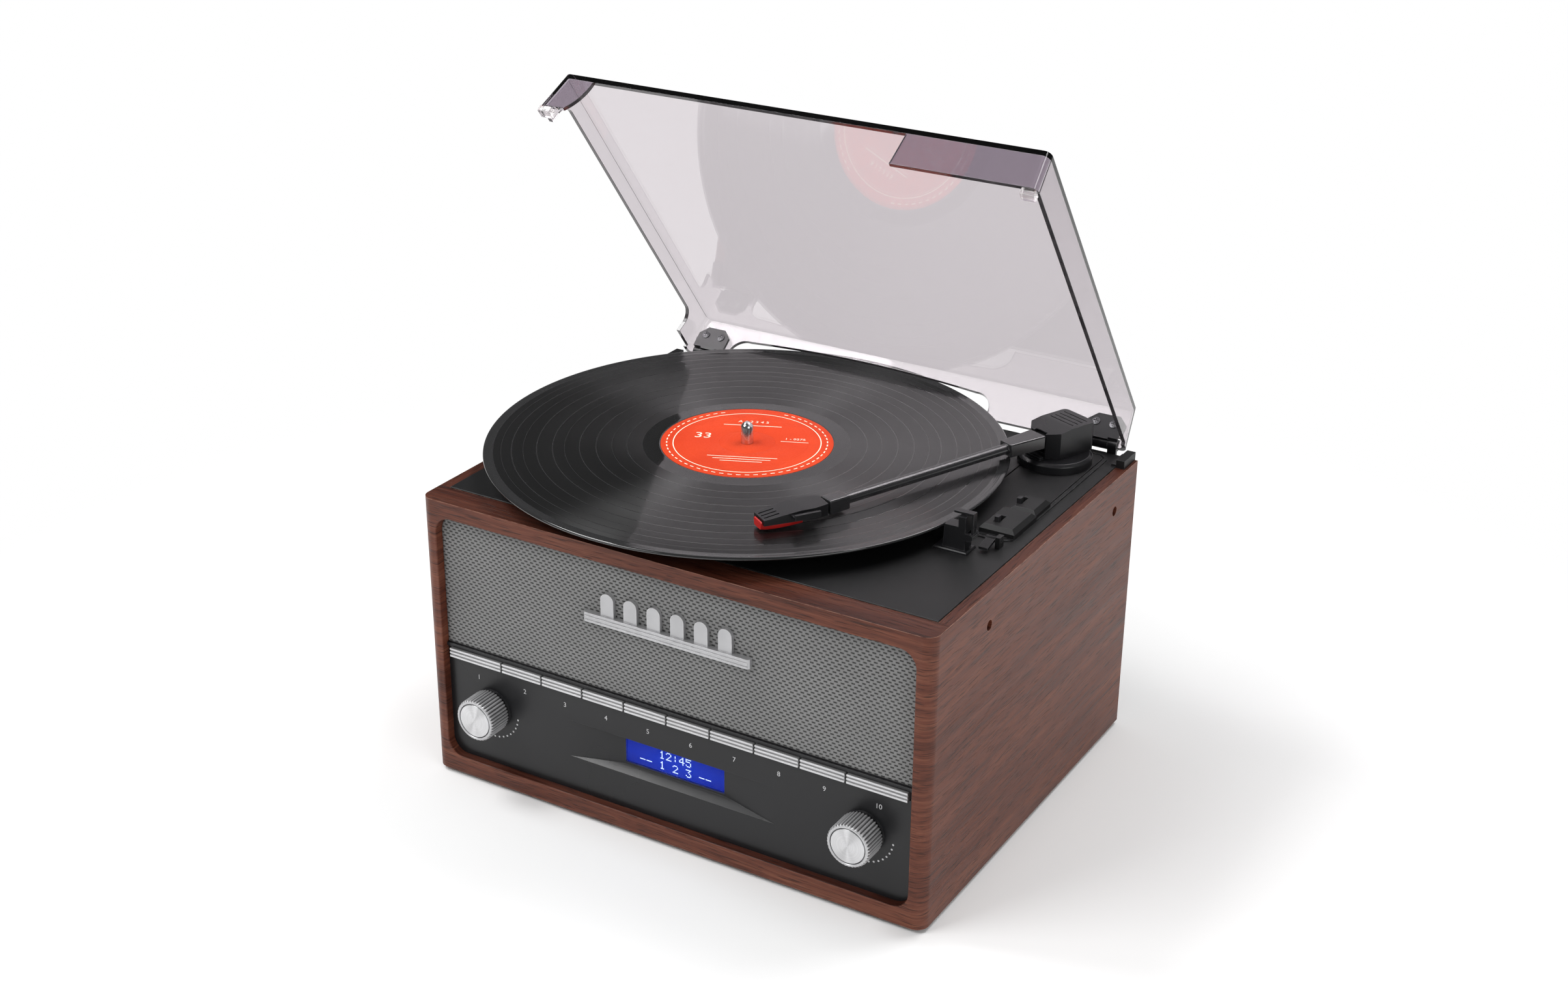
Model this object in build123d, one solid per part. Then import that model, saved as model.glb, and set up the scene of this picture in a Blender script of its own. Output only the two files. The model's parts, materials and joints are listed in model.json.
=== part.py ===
from build123d import *
import math
import os

# Stereo music centre: a record player with its lid up, on a wooden cabinet with
# a cloth front, a row of buttons, two knobs and a display. Millimetres.
# +X is to the right, +Y to the back, +Z up. The origin is the centre of the
# cabinet's underside, and the rubber feet reach below it.

# Cabinet. The record is the largest piece, so the cabinet's width and depth follow it.
arm_side_width = 40.5
record_overhang = 44.6
cabinet_height = 173.0
side_wall = 12.0
front_wall = 20.0
front_corner_radius = 7.0
bottom_thickness = 9.0
back_thickness = 4.0
opening_side = 9.5
opening_bottom = 10.4
opening_top = 10.0
opening_radius = 10.0
opening_edge_radius = 0.8
side_strip = 6.9
front_strip = 17.7
deck_rebate = 3.0
foot_radius = 9.0
foot_height = 2.5
foot_inset = 26.0
side_hole_radius = 3.0
side_hole_depth = 5.0
side_hole_front = 63.4
side_hole_back = 30.7
side_hole_drop = 20.3
side_screw_radius = 2.4
side_screw_length = 3.0
side_screw_dimple = 1.0

# Clearances
fit_gap = 0.1
move_gap = 0.3
bearing_gap = 0.05

# Grille, baffle and speakers
grille_depth = 5.2
cloth_thickness = 0.8
baffle_thickness = 9.0
speaker_spacing = 170.0
speaker_margin = 3.4
speaker_flange_width = 4.0
speaker_flange_thickness = 3.0
speaker_frame_depth = 16.0
speaker_neck_radius = 19.0
speaker_magnet_radius = 23.0
speaker_magnet_depth = 12.0
speaker_cone_depth = 11.0
speaker_dust_cap_radius = 10.0
speaker_cone_gap = 1.0

# Badge
badge_width = 105.8
badge_height = 5.6
badge_thickness = 3.4
badge_bottom = 124.1
badge_chamfer = 1.2
badge_groove = 0.9
badge_groove_depth = 0.5
badge_groove_spacing = 2.3
badge_bar_count = 6
badge_bar_pitch = 15.0
badge_bar_width = 8.4
badge_bar_height = 13.6
badge_bar_thickness = 2.2

# Fascia and display
fascia_top = 82.2
fascia_thickness = 3.0
fascia_lip_height = 2.1
fascia_lip_depth = 1.4
display_width = 64.6
display_height = 14.8
display_bottom = 37.1
display_depth = 5.0
display_glass_thickness = 1.5
display_rim = 1.5
recess_width = 134.0
recess_height = 23.1
recess_bottom = 32.5
recess_wall = 2.6
display_module_margin = 5.0
display_module_thickness = 4.0

# Buttons
button_count = 10
button_pitch = 27.85
button_row_side = 3.05
button_gap = 1.0
button_height = 5.5
button_bottom = 74.3
button_front = 2.0
button_ridges = 3
button_ridge_depth = 0.7
button_flange = 1.3
button_flange_thickness = 1.8
button_travel = 1.0
switch_width = 6.0
switch_tip_radius = 1.6
switch_depth = 3.2
switch_tip_length = 1.1

# Knobs
knob_offset = 121.2
knob_height = 46.6
knob_radius = 12.8
knob_front = 12.0
knob_flutes = 40
knob_flute_radius = 0.62
knob_cap_radius = 10.1
knob_cap_thickness = 1.6
knob_groove = 0.5
knob_seat_radius = 12.2
knob_seat_thickness = 1.0
knob_bore_depth = 11.0
knob_shaft_radius = 3.0
control_bush_radius = 4.6
control_size = 16.0
control_depth = 9.0
control_bore_depth = 13.0

# Boards and the mains side
board_thickness = 1.6
front_board_gap = 3.5
front_board_bottom = 62.0
front_board_height = 20.0
main_board_width = 100.0
main_board_depth = 90.0
main_board_x = 15.0
main_board_y = 66.0
main_board_standoff = 4.0
main_board_post_radius = 2.0
heat_sink_width = 50.0
heat_sink_depth = 8.0
heat_sink_height = 24.0
capacitor_radius = 8.0
capacitor_spacing = 50.0
capacitor_y = 43.5
transformer_width = 46.0
transformer_depth = 38.0
transformer_height = 40.0
transformer_core_depth = 19.0
transformer_coil_width = 23.0
transformer_coil_inset = 8.0
transformer_inset = 55.5
transformer_y = 60.0
socket_panel_width = 80.0
socket_panel_height = 30.0
socket_panel_x = -70.0
socket_panel_z = 45.0
socket_flange = 3.0
socket_flange_thickness = 1.5
socket_count = 4
socket_pitch = 16.0
socket_barrel_radius = 4.2
socket_bore_radius = 1.6
socket_barrel_length = 8.0
inlet_inset = 50.5
inlet_z = 45.0
inlet_width = 26.0
inlet_height = 16.0
inlet_depth = 16.0
inlet_slot_width = 18.0
inlet_slot_height = 8.6
inlet_slot_depth = 12.0
inlet_pin_radius = 1.2
inlet_pin_spacing = 8.6
inlet_pin_length = 9.0
vent_count = 14
vent_pitch = 9.0
vent_width = 3.0
vent_height = 36.0
vent_bottom = 90.0

# Deck. On the arm's side, X is measured from the record's right edge and Y from the cabinet's back.
deck_rise = 0.6
deck_ear_width = 5.2
deck_ear_length = 16.4
deck_ear_height = 5.0
deck_ear_foot_height = 2.0
arm_panel_left = -16.0
arm_panel_right = 26.0
arm_panel_front = -141.5
arm_panel_back = -4.5
arm_panel_rise = 0.8
arm_panel_radius = 8.0
arm_panel_line = 1.0

# Record, platter and drive
record_x = -30.8
record_y = 7.3
record_radius = 150.8
record_thickness = 1.9
record_hole_radius = 3.65
record_bead_width = 2.0
record_lead_in_radius = 144.6
record_groove_drop = 0.3
record_run_out_radius = 59.6
record_land_radius = 50.6
label_radius = 49.7
label_thickness = 0.2
mat_radius = 97.0
mat_thickness = 1.6
platter_radius = 100.0
platter_height = 6.0
platter_top_thickness = 2.4
platter_gap = 2.4
platter_rim_thickness = 4.0
belt_ring_radius = 62.0
belt_ring_thickness = 3.0
hub_radius = 12.0
spindle_radius = 3.6
spindle_above_record = 12.8
spindle_below_deck = 22.0
spindle_tip_chamfer = 1.8
spindle_shoulder_radius = 7.5
spindle_shoulder_height = 1.2
bearing_radius = 9.0
bearing_flange_radius = 16.0
bearing_flange_thickness = 3.0
motor_radius = 17.0
motor_height = 24.0
motor_angle = 205.0
motor_distance = 84.0
motor_screw_spacing = 26.0
motor_ear_radius = 5.6
motor_bore_depth = 12.0
pulley_radius = 5.0
pulley_hole_radius = 9.0
pulley_flange_radius = 6.4
pulley_flange_thickness = 0.7
motor_shaft_radius = 1.0
belt_thickness = 0.8
belt_height = 2.2

# Tonearm
pivot_out = 0.4
pivot_inset = 28.2
arm_angle = 22.3
arm_base_radius = 21.6
arm_base_height = 6.1
arm_base_chamfer = 1.6
arm_sleeve_radius = 7.5
arm_sleeve_depth = 16.0
arm_shaft_radius = 4.0
arm_shaft_depth = 13.0
tube_radius = 3.0
tube_height = 18.5
tube_start = 36.0
tube_end = 155.0
box_start = 14.6
box_rear_width = 13.0
box_front_width = 9.6
box_height = 7.8
box_edge = 0.6
neck_width = 8.0
neck_height = 4.6
neck_back = 5.0
lift_axis_out = 4.0
lift_pin_radius = 1.5
housing_front = 13.0
housing_back = 20.0
housing_left = 13.6
housing_right = 11.4
housing_front_top = 22.6
housing_back_top = 24.6
housing_bend = 1.0
housing_corner = 6.0
housing_corner_radius = 3.0
housing_cover_front = 11.0
housing_groove_inset = 3.0
housing_slot_half = 4.6
housing_slot_back = 2.6
housing_slot_floor = 10.6
housing_groove_count = 4
housing_groove_pitch = 3.6
housing_groove_width = 0.8
housing_groove_depth = 0.6
connector_length = 13.0
connector_width = 9.0
connector_height = 8.0
headshell_angle = 11.0
headshell_gap = 0.4
headshell_length = 39.0
headshell_rear_width = 12.0
headshell_width = 16.0
headshell_nose_width = 12.5
headshell_top = 22.3
headshell_bottom = 15.2
headshell_shoulder = 9.5
headshell_bend = 19.0
headshell_nose_top = 19.6
headshell_nose_bottom = 16.4
headshell_slot_length = 9.0
headshell_slot_width = 1.1
headshell_slot_spacing = 3.4
finger_start = 9.0
finger_end = 24.0
finger_reach = 5.0
finger_thickness = 1.5
cartridge_start = 15.0
cartridge_end = 36.0
cartridge_width = 9.6
cartridge_bottom = 13.4
cartridge_nose_rise = 1.2
stylus_out = 32.0
stylus_radius = 0.35
stylus_above_record = 0.3

# Arm rest and its clip, with X from the record's right edge and Y from the cabinet's back
rest_left = -7.2
rest_right = 12.4
rest_front = -166.5
rest_back = -154.8
rest_plate_thickness = 1.6
rest_plate_chamfer = 0.5
rest_post_bottom_left = -2.8
rest_post_top_left = -1.9
rest_post_right = 10.2
rest_post_front = -164.0
rest_post_depth = 8.0
rest_seat_right = 6.1
rest_stop_top = 21.3
rest_clearance = 0.3
clip_pin_x = 12.6
clip_pin_height = 10.0
clip_pin_radius = 1.0
clip_eye_radius = 2.0
clip_width = 4.0
clip_thickness = 1.3
clip_reach_x = 2.2
clip_rise = 0.5

# Cue lever and lift bar, with the lever's X from the record's right edge and its Y from the cabinet's back
cue_hub_y = -147.5
cue_hub_height = 5.0
cue_hub_left = 15.2
cue_hub_radius = 1.3
cue_lug_left = 21.2
cue_lug_width = 2.8
cue_lug_length = 5.0
cue_lug_height = 7.2
cue_paddle_width = 5.4
cue_paddle_reach = 10.0
cue_paddle_thickness = 1.5
cue_paddle_drop = 2.2
lift_bar_out = 17.2
lift_bar_length = 14.0
lift_bar_width = 2.6
lift_bar_thickness = 1.8
lift_bar_gap = 0.5
lift_post_radius = 1.4
lift_post_depth = 9.0

# Slide switches, with X from the record's right edge and Y from the cabinet's back
front_switch = (5.0, 26.0, -136.5, -108.0)
back_switch = (9.2, 25.2, -108.0, -88.0)
switch_block_height = 6.0
switch_block_chamfer = 2.2
slider_x = 12.2
slider_slot_width = 3.6
slider_slot_length = 9.4
slider_slot_depth = 3.4
slider_width = 2.6
slider_length = 3.6
slider_rise = 3.0
slider_front_y = -128.1
slider_back_y = -100.1

# Hinges
hinge_axis_back = 3.0
hinge_axis_height = 5.0
hinge_inset = 14.0
hinge_width = 22.0
hinge_end_knuckle = 5.5
hinge_screw_spacing = 11.0
hinge_knuckle_radius = 3.4
hinge_pin_radius = 1.4
hinge_leaf_thickness = 2.0
hinge_base_drop = 22.0
hinge_leaf_height = 16.0
hinge_leaf_corner = 5.0
hinge_leaf_bottom = 1.1
hinge_screw_radius = 2.6
hinge_screw_height = 1.0

# Lid, drawn closed and then opened
lid_open_angle = 52.5
lid_top = 30.0
lid_thickness = 2.5
lid_rim = 5.0
lid_side_inset = 8.0
lid_side_lean = 3.5
lid_front_inset = 16.0
lid_front_lean = 2.5
lid_back_reach = 4.5
lid_back_lean = 2.4
lid_corner_radius = 4.0
front_cut_inset = 11.5
front_cut_ear = 13.0
front_cut_reach = 99.4
front_cut_bend = 8.5
front_cut_bend_height = 9.3
front_lip = 3.5
left_cut_front = -97.0
left_cut_back = 110.0
left_cut_radius = 8.0
left_lip = 10.8
back_cut_half = 92.0
back_cut_shoulder = 80.0
back_cut_shoulder_height = 18.6
back_cut_corner_height = 9.0
back_cut_top = 22.0
back_rim = 3.0
hinge_notch_height = 9.8
bumper_length = 8.0
bumper_width = 6.0
bumper_inset = 0.5
wall_cut_reach = 7.5

# Worked out from the sizes above
record_right = record_x + record_radius
cabinet_width = 2 * (record_right + arm_side_width)
cabinet_depth = 2 * record_radius - record_overhang
half_width = cabinet_width / 2
front_y = -cabinet_depth / 2
back_y = cabinet_depth / 2
inner_half = half_width - side_wall
inner_front = front_y + front_wall
rebate_floor = cabinet_height - deck_rebate
deck_half = half_width - side_strip
deck_front = front_y + front_strip
deck_top = cabinet_height + deck_rise
arm_panel_top = deck_top + arm_panel_rise
opening_half = half_width - opening_side
opening_z = (opening_bottom + cabinet_height - opening_top) / 2
opening_height = cabinet_height - opening_top - opening_bottom
grille_y = front_y + grille_depth
baffle_y = grille_y + cloth_thickness
speaker_z = (fascia_top + cabinet_height - opening_top) / 2
speaker_flange_radius = (cabinet_height - opening_top - fascia_top) / 2 - speaker_margin
speaker_hole_radius = speaker_flange_radius - speaker_flange_width
fascia_back = grille_y + fascia_thickness
display_y = grille_y + display_depth
display_z = display_bottom + display_height / 2
recess_z = recess_bottom + recess_height / 2
module_y = display_y + display_glass_thickness + fit_gap
button_row_width = 2 * (opening_half - button_row_side)
button_y = front_y + button_front
button_z = button_bottom + button_height / 2
button_back = fascia_back + move_gap + button_flange_thickness
switch_tip_y = button_back + button_travel + move_gap
front_board_y = switch_tip_y + switch_depth
front_board_width = 2 * (inner_half - front_board_gap)
knob_y = front_y - knob_front
knob_back = grille_y - knob_seat_thickness - move_gap
knob_shaft_front = knob_back - knob_bore_depth
control_y = fascia_back + control_bore_depth / 2
platter_bottom = deck_top + platter_gap
platter_top = platter_bottom + platter_height
mat_top = platter_top + mat_thickness
record_top = mat_top + record_thickness
pivot_x = record_right + pivot_out
pivot_y = back_y - pivot_inset
inlet_x = half_width - inlet_inset
transformer_x = half_width - transformer_inset
arm_base_top = arm_panel_top + arm_base_height
tube_z = cabinet_height + tube_height
hinge_y = back_y + hinge_axis_back
hinge_z = cabinet_height + hinge_axis_height
seat_z = tube_z - tube_radius - rest_clearance
clip_top_z = tube_z + tube_radius + clip_rise
hinge_out = half_width - hinge_inset
lid_half_rim = half_width - lid_side_inset
lid_half_top = lid_half_rim - lid_side_lean
lid_front_rim = cabinet_depth / 2 - lid_front_inset
lid_front_top = lid_front_rim - lid_front_lean
lid_back_rim = cabinet_depth / 2 + lid_back_reach
lid_back_top = lid_back_rim - lid_back_lean
front_cut_left = front_cut_inset - lid_half_rim
front_cut_left_top = front_cut_left + front_cut_ear
front_cut_bend_x = front_cut_left + front_cut_bend
front_cut_right = record_x + front_cut_reach


# Basic shapes

def block(x_low, x_high, y_low, y_high, z_low, z_high):
    centre = Pos((x_low + x_high) / 2, (y_low + y_high) / 2, (z_low + z_high) / 2)
    return centre * Box(x_high - x_low, y_high - y_low, z_high - z_low)


def wide_block(half, y_low, y_high, z_low, z_high):
    return block(-half, half, y_low, y_high, z_low, z_high)


def upright(radius, x, y, z_low, z_high):
    return Pos(x, y, (z_low + z_high) / 2) * Cylinder(radius, z_high - z_low)


def lying_y(radius, x, z, y_low, y_high):
    return Pos(x, (y_low + y_high) / 2, z) * Rot(X=90) * Cylinder(radius, y_high - y_low)


def lying_x(radius, y, z, x_low, x_high):
    return Pos((x_low + x_high) / 2, y, z) * Rot(Y=90) * Cylinder(radius, x_high - x_low)


def front_sheet(sketch, y_low, y_high):
    # A sketch drawn in X and Z, as seen from the front, made solid from y_low back to y_high.
    plane = Plane(origin=(0, y_low, 0), x_dir=(1, 0, 0), z_dir=(0, -1, 0))
    return extrude(plane * sketch, -(y_high - y_low))


def side_sheet(points, x_low, x_high):
    # A closed outline in Y and Z, made solid from x_low to x_high.
    plane = Plane(origin=(x_low, 0, 0), x_dir=(0, 1, 0), z_dir=(1, 0, 0))
    return extrude(plane * make_face(Polyline(*points, close=True)), x_high - x_low)


def flat_sheet(sketch, z_low, z_high):
    return extrude(Pos(0, 0, z_low) * sketch, z_high - z_low)


def beside_record(shape):
    # A shape drawn with X 0 at the record's right edge and Y 0 at the cabinet's back.
    return Pos(record_right, back_y, 0) * shape


# Cabinet

def opening_prism(gap, y_low, y_high):
    outline = RectangleRounded(2 * (opening_half - gap), opening_height - 2 * gap, opening_radius - gap)
    return front_sheet(Pos(0, opening_z) * outline, y_low, y_high)


def side_hole_places():
    z = cabinet_height - side_hole_drop
    return [(side, y, z) for side in (-1, 1) for y in (front_y + side_hole_front, back_y - side_hole_back)]


def make_cabinet_wrap():
    wrap = wide_block(half_width, front_y, back_y, 0, cabinet_height)
    wrap = fillet(wrap.edges().filter_by(Axis.Z).group_by(Axis.Y)[0], front_corner_radius)
    wrap -= wide_block(inner_half, inner_front, back_y, 0, cabinet_height)
    wrap -= wide_block(deck_half, deck_front, back_y, rebate_floor, cabinet_height)
    wrap -= opening_prism(0, front_y, inner_front)
    wrap = fillet(wrap.faces().sort_by(Axis.Y)[0].inner_wires()[0].edges(), opening_edge_radius)
    for side, y, z in side_hole_places():
        ends = sorted((side * (half_width - side_hole_depth), side * half_width))
        wrap -= lying_x(side_hole_radius, y, z, *ends)
    return wrap


def make_screws():
    screws = []
    for side, y, z in side_hole_places():
        deep = side * (half_width - side_hole_depth)
        face = deep + side * side_screw_length
        dimple_floor = face - side * side_screw_dimple
        head = lying_x(side_screw_radius, y, z, *sorted((deep, face)))
        dimple = lying_x(side_screw_radius / 2, y, z, *sorted((dimple_floor, face)))
        screws.append(head - dimple)
    for x in hinge_middles():
        for step in (-1, 1):
            place = (x + step * hinge_screw_spacing / 2, cabinet_height - hinge_base_drop / 2)
            face = back_y + hinge_leaf_thickness
            screws.append(lying_y(hinge_screw_radius, *place, face, face + hinge_screw_height))
    return screws


def make_bottom_board():
    return wide_block(inner_half - fit_gap, inner_front + fit_gap, back_y - back_thickness - fit_gap,
                      0, bottom_thickness)


def make_back_panel():
    y_low = back_y - back_thickness
    panel = wide_block(inner_half - fit_gap, y_low, back_y, 0, rebate_floor - fit_gap)
    panel -= socket_panel_block(fit_gap, y_low, back_y)
    panel -= inlet_block(fit_gap, y_low, back_y)
    for index in range(vent_count):
        x = (index - (vent_count - 1) / 2) * vent_pitch
        panel -= block(x - vent_width / 2, x + vent_width / 2, y_low, back_y,
                       vent_bottom, vent_bottom + vent_height)
    return panel


def make_feet():
    feet = []
    for x in (-half_width + foot_inset, half_width - foot_inset):
        for y in (front_y + foot_inset, back_y - foot_inset):
            feet.append(upright(foot_radius, x, y, -foot_height, 0))
    return feet


# Grille and speakers

def grille_sheet(y_low, y_high):
    outline = opening_prism(fit_gap, y_low, y_high)
    return outline & wide_block(opening_half, y_low, y_high, fascia_top + fit_gap, cabinet_height)


def speaker_places():
    return [side * speaker_spacing / 2 for side in (-1, 1)]


def make_baffle():
    baffle = grille_sheet(baffle_y, baffle_y + baffle_thickness)
    for x in speaker_places():
        baffle -= lying_y(speaker_hole_radius, x, speaker_z, baffle_y, baffle_y + baffle_thickness)
    return baffle


def speaker_at(x):
    # The profile is a radius and a distance back from the baffle, turned about the speaker's axis.
    flange = speaker_flange_thickness
    back = flange + speaker_frame_depth
    end = back + speaker_magnet_depth
    edge = speaker_hole_radius - speaker_cone_gap
    profile = Polyline((0, speaker_cone_depth), (speaker_dust_cap_radius, speaker_cone_depth), (edge, flange / 2),
                       (edge, 0), (speaker_flange_radius, 0), (speaker_flange_radius, flange),
                       (speaker_neck_radius, back), (speaker_magnet_radius, back),
                       (speaker_magnet_radius, end), (0, end), close=True)
    turned = revolve(Plane.XZ * make_face(profile), Axis.Z)
    return Pos(x, baffle_y + baffle_thickness + fit_gap, speaker_z) * Rot(X=-90) * turned


def make_badge():
    x_high = badge_width / 2
    y_low = grille_y - badge_thickness
    bar = block(-x_high, x_high, y_low, grille_y, badge_bottom, badge_bottom + badge_height)
    bar = chamfer(bar.faces().sort_by(Axis.Y)[0].edges().filter_by(Axis.Z), badge_chamfer)
    for step in (-1, 1):
        z = badge_bottom + badge_height / 2 + step * badge_groove_spacing / 2
        bar -= block(-x_high, x_high, y_low, y_low + badge_groove_depth, z - badge_groove / 2, z + badge_groove / 2)
    for index in range(badge_bar_count):
        x = (index - (badge_bar_count - 1) / 2) * badge_bar_pitch
        radius = badge_bar_width / 2 - fit_gap
        outline = Pos(x, badge_bottom + badge_height + badge_bar_height / 2)
        outline *= RectangleRounded(badge_bar_width, badge_bar_height, radius)
        foot = Pos(x, badge_bottom + badge_height + radius / 2) * Rectangle(badge_bar_width, radius)
        bar += front_sheet(outline + foot, grille_y - badge_bar_thickness, grille_y)
    return bar


# Fascia, display and controls

def knob_places():
    return [side * knob_offset for side in (-1, 1)]


def display_block(gap, y_low, y_high):
    half = display_width / 2 - gap
    return wide_block(half, y_low, y_high, display_bottom + gap, display_bottom + display_height - gap)


def display_funnel():
    outer = Plane(origin=(0, grille_y, recess_z), x_dir=(1, 0, 0), z_dir=(0, -1, 0))
    inner = Plane(origin=(0, display_y, display_z), x_dir=(1, 0, 0), z_dir=(0, -1, 0))
    mouth = outer * Rectangle(recess_width, recess_height)
    bed = inner * Rectangle(display_width + 2 * display_rim, display_height + 2 * display_rim)
    return loft([mouth, bed], ruled=True)


def make_fascia():
    fascia = opening_prism(fit_gap, grille_y, fascia_back)
    fascia &= wide_block(opening_half, grille_y, fascia_back, 0, fascia_top)
    lip_half = opening_half - fit_gap
    fascia += wide_block(lip_half, grille_y - fascia_lip_depth, grille_y,
                         fascia_top - fascia_lip_height, fascia_top)
    fascia += wide_block(recess_width / 2 + recess_wall, fascia_back, display_y + display_glass_thickness,
                         recess_bottom - recess_wall, recess_bottom + recess_height + recess_wall)
    fascia -= display_funnel()
    fascia -= display_block(0, display_y, display_y + display_glass_thickness)
    slot_half = button_row_width / 2 + move_gap
    fascia -= wide_block(slot_half, grille_y, fascia_back,
                         button_bottom - move_gap, button_bottom + button_height + move_gap)
    for x in knob_places():
        fascia += lying_y(knob_seat_radius, x, knob_height, grille_y - knob_seat_thickness, grille_y)
        fascia -= lying_y(knob_shaft_radius + move_gap, x, knob_height,
                          grille_y - knob_seat_thickness, fascia_back)
    return fascia


def make_display_window():
    return display_block(fit_gap, display_y, display_y + display_glass_thickness)


def make_display_module():
    return display_block(-display_module_margin, module_y, module_y + display_module_thickness)


def button_edges():
    # The row has wide end buttons, and the others follow the pitch from the middle outwards.
    inner = [(index - (button_count - 2) / 2) * button_pitch for index in range(button_count - 1)]
    return [-button_row_width / 2] + inner + [button_row_width / 2]


def make_button(index):
    edges = button_edges()
    low = edges[index] + (button_gap / 2 if index > 0 else 0)
    high = edges[index + 1] - (button_gap / 2 if index < button_count - 1 else 0)
    top = button_bottom + button_height
    button = block(low, high, button_y + button_ridge_depth, button_back, button_bottom, top)
    button += block(low, high, fascia_back + move_gap, button_back,
                    button_bottom - button_flange, top + button_flange)
    ridge = button_height / (2 * button_ridges - 1)
    for step in range(button_ridges):
        z = button_bottom + 2 * step * ridge
        button += block(low, high, button_y, button_y + button_ridge_depth, z, z + ridge)
    return button


def make_front_board():
    half = front_board_width / 2
    board = wide_block(half, front_board_y, front_board_y + board_thickness,
                       front_board_bottom, front_board_bottom + front_board_height)
    edges = button_edges()
    for low, high in zip(edges[:-1], edges[1:]):
        x = (low + high) / 2
        body_front = switch_tip_y + switch_tip_length
        board += block(x - switch_width / 2, x + switch_width / 2, body_front, front_board_y,
                       button_z - switch_width / 2, button_z + switch_width / 2)
        board += lying_y(switch_tip_radius, x, button_z, switch_tip_y, body_front)
    return board


def make_knob(x):
    rim = Circle(knob_radius)
    for index in range(knob_flutes):
        angle = math.radians(index * 360 / knob_flutes)
        rim -= Pos(knob_radius * math.cos(angle), knob_radius * math.sin(angle)) * Circle(knob_flute_radius)
    knob = front_sheet(Pos(x, knob_height) * rim, knob_y, knob_back)
    knob -= lying_y(knob_cap_radius + knob_groove, x, knob_height, knob_y, knob_y + knob_cap_thickness)
    knob -= lying_y(knob_shaft_radius + fit_gap, x, knob_height, knob_shaft_front, knob_back)
    return knob


def make_knob_cap(x):
    return lying_y(knob_cap_radius, x, knob_height, knob_y, knob_y + knob_cap_thickness - fit_gap)


def make_knob_shaft(x):
    end = control_y + control_depth / 2
    return lying_y(knob_shaft_radius, x, knob_height, knob_shaft_front, end)


def make_panel_controls():
    controls = []
    for x in knob_places():
        body = block(x - control_size / 2, x + control_size / 2, control_y, control_y + control_depth,
                     knob_height - control_size / 2, knob_height + control_size / 2)
        body += lying_y(control_bush_radius, x, knob_height, fascia_back, control_y)
        body -= lying_y(knob_shaft_radius + bearing_gap, x, knob_height, fascia_back,
                        control_y + control_depth / 2 + fit_gap)
        controls.append(body)
    return controls


# Inside the cabinet and on its back

def make_main_board():
    z_low = bottom_thickness + main_board_standoff
    z_high = z_low + board_thickness
    half_x = main_board_width / 2
    half_y = main_board_depth / 2
    board = block(main_board_x - half_x, main_board_x + half_x, main_board_y - half_y, main_board_y + half_y,
                  z_low, z_high)
    for step_x in (-1, 1):
        for step_y in (-1, 1):
            x = main_board_x + step_x * (half_x - main_board_standoff)
            y = main_board_y + step_y * (half_y - main_board_standoff)
            board += upright(main_board_post_radius, x, y, bottom_thickness, z_low)
    tall = z_high + heat_sink_height
    board += block(main_board_x - heat_sink_width / 2, main_board_x + heat_sink_width / 2,
                   main_board_y - heat_sink_depth / 2, main_board_y + heat_sink_depth / 2, z_high, tall)
    for step in (-1, 1):
        x = main_board_x + step * capacitor_spacing / 2
        board += upright(capacitor_radius, x, capacitor_y, z_high, tall)
    return board


def make_transformer():
    half_x = transformer_width / 2
    half_y = transformer_depth / 2
    half_core = transformer_core_depth / 2
    half_coil = transformer_coil_width / 2
    top = bottom_thickness + transformer_height
    core = block(transformer_x - half_x, transformer_x + half_x, transformer_y - half_core,
                 transformer_y + half_core, bottom_thickness, top)
    coil = block(transformer_x - half_coil, transformer_x + half_coil, transformer_y - half_y,
                 transformer_y + half_y, bottom_thickness + transformer_coil_inset, top - transformer_coil_inset)
    return core + coil


def socket_panel_block(gap, y_low, y_high):
    half_x = socket_panel_width / 2 + gap
    half_z = socket_panel_height / 2 + gap
    return block(socket_panel_x - half_x, socket_panel_x + half_x, y_low, y_high,
                 socket_panel_z - half_z, socket_panel_z + half_z)


def make_socket_panel():
    y_face = back_y + socket_flange_thickness
    panel = socket_panel_block(0, back_y - back_thickness, back_y)
    panel += socket_panel_block(socket_flange, back_y, y_face)
    for index in range(socket_count):
        x = socket_panel_x + (index - (socket_count - 1) / 2) * socket_pitch
        panel += lying_y(socket_barrel_radius, x, socket_panel_z, y_face, y_face + socket_barrel_length)
        panel -= lying_y(socket_bore_radius, x, socket_panel_z, back_y, y_face + socket_barrel_length)
    return panel


def inlet_block(gap, y_low, y_high):
    half_x = inlet_width / 2 + gap
    half_z = inlet_height / 2 + gap
    return block(inlet_x - half_x, inlet_x + half_x, y_low, y_high, inlet_z - half_z, inlet_z + half_z)


def make_mains_inlet():
    y_face = back_y + socket_flange_thickness
    inlet = inlet_block(0, y_face - inlet_depth, y_face)
    inlet += inlet_block(socket_flange, back_y, y_face)
    outline = Pos(inlet_x, inlet_z) * SlotOverall(inlet_slot_width, inlet_slot_height)
    inlet -= front_sheet(outline, y_face - inlet_slot_depth, y_face)
    for step in (-1, 1):
        x = inlet_x + step * inlet_pin_spacing / 2
        floor = y_face - inlet_slot_depth
        inlet += lying_y(inlet_pin_radius, x, inlet_z, floor, floor + inlet_pin_length)
    return inlet


# Deck

def panel_ring(left, right, front, back, radius):
    outer = Pos((left + right) / 2, (front + back) / 2) * RectangleRounded(right - left, back - front, radius)
    inner_width = right - left - 2 * arm_panel_line
    inner_length = back - front - 2 * arm_panel_line
    centre = Pos((left + right) / 2, (front + back) / 2)
    return outer - centre * RectangleRounded(inner_width, inner_length, radius - arm_panel_line)


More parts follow.
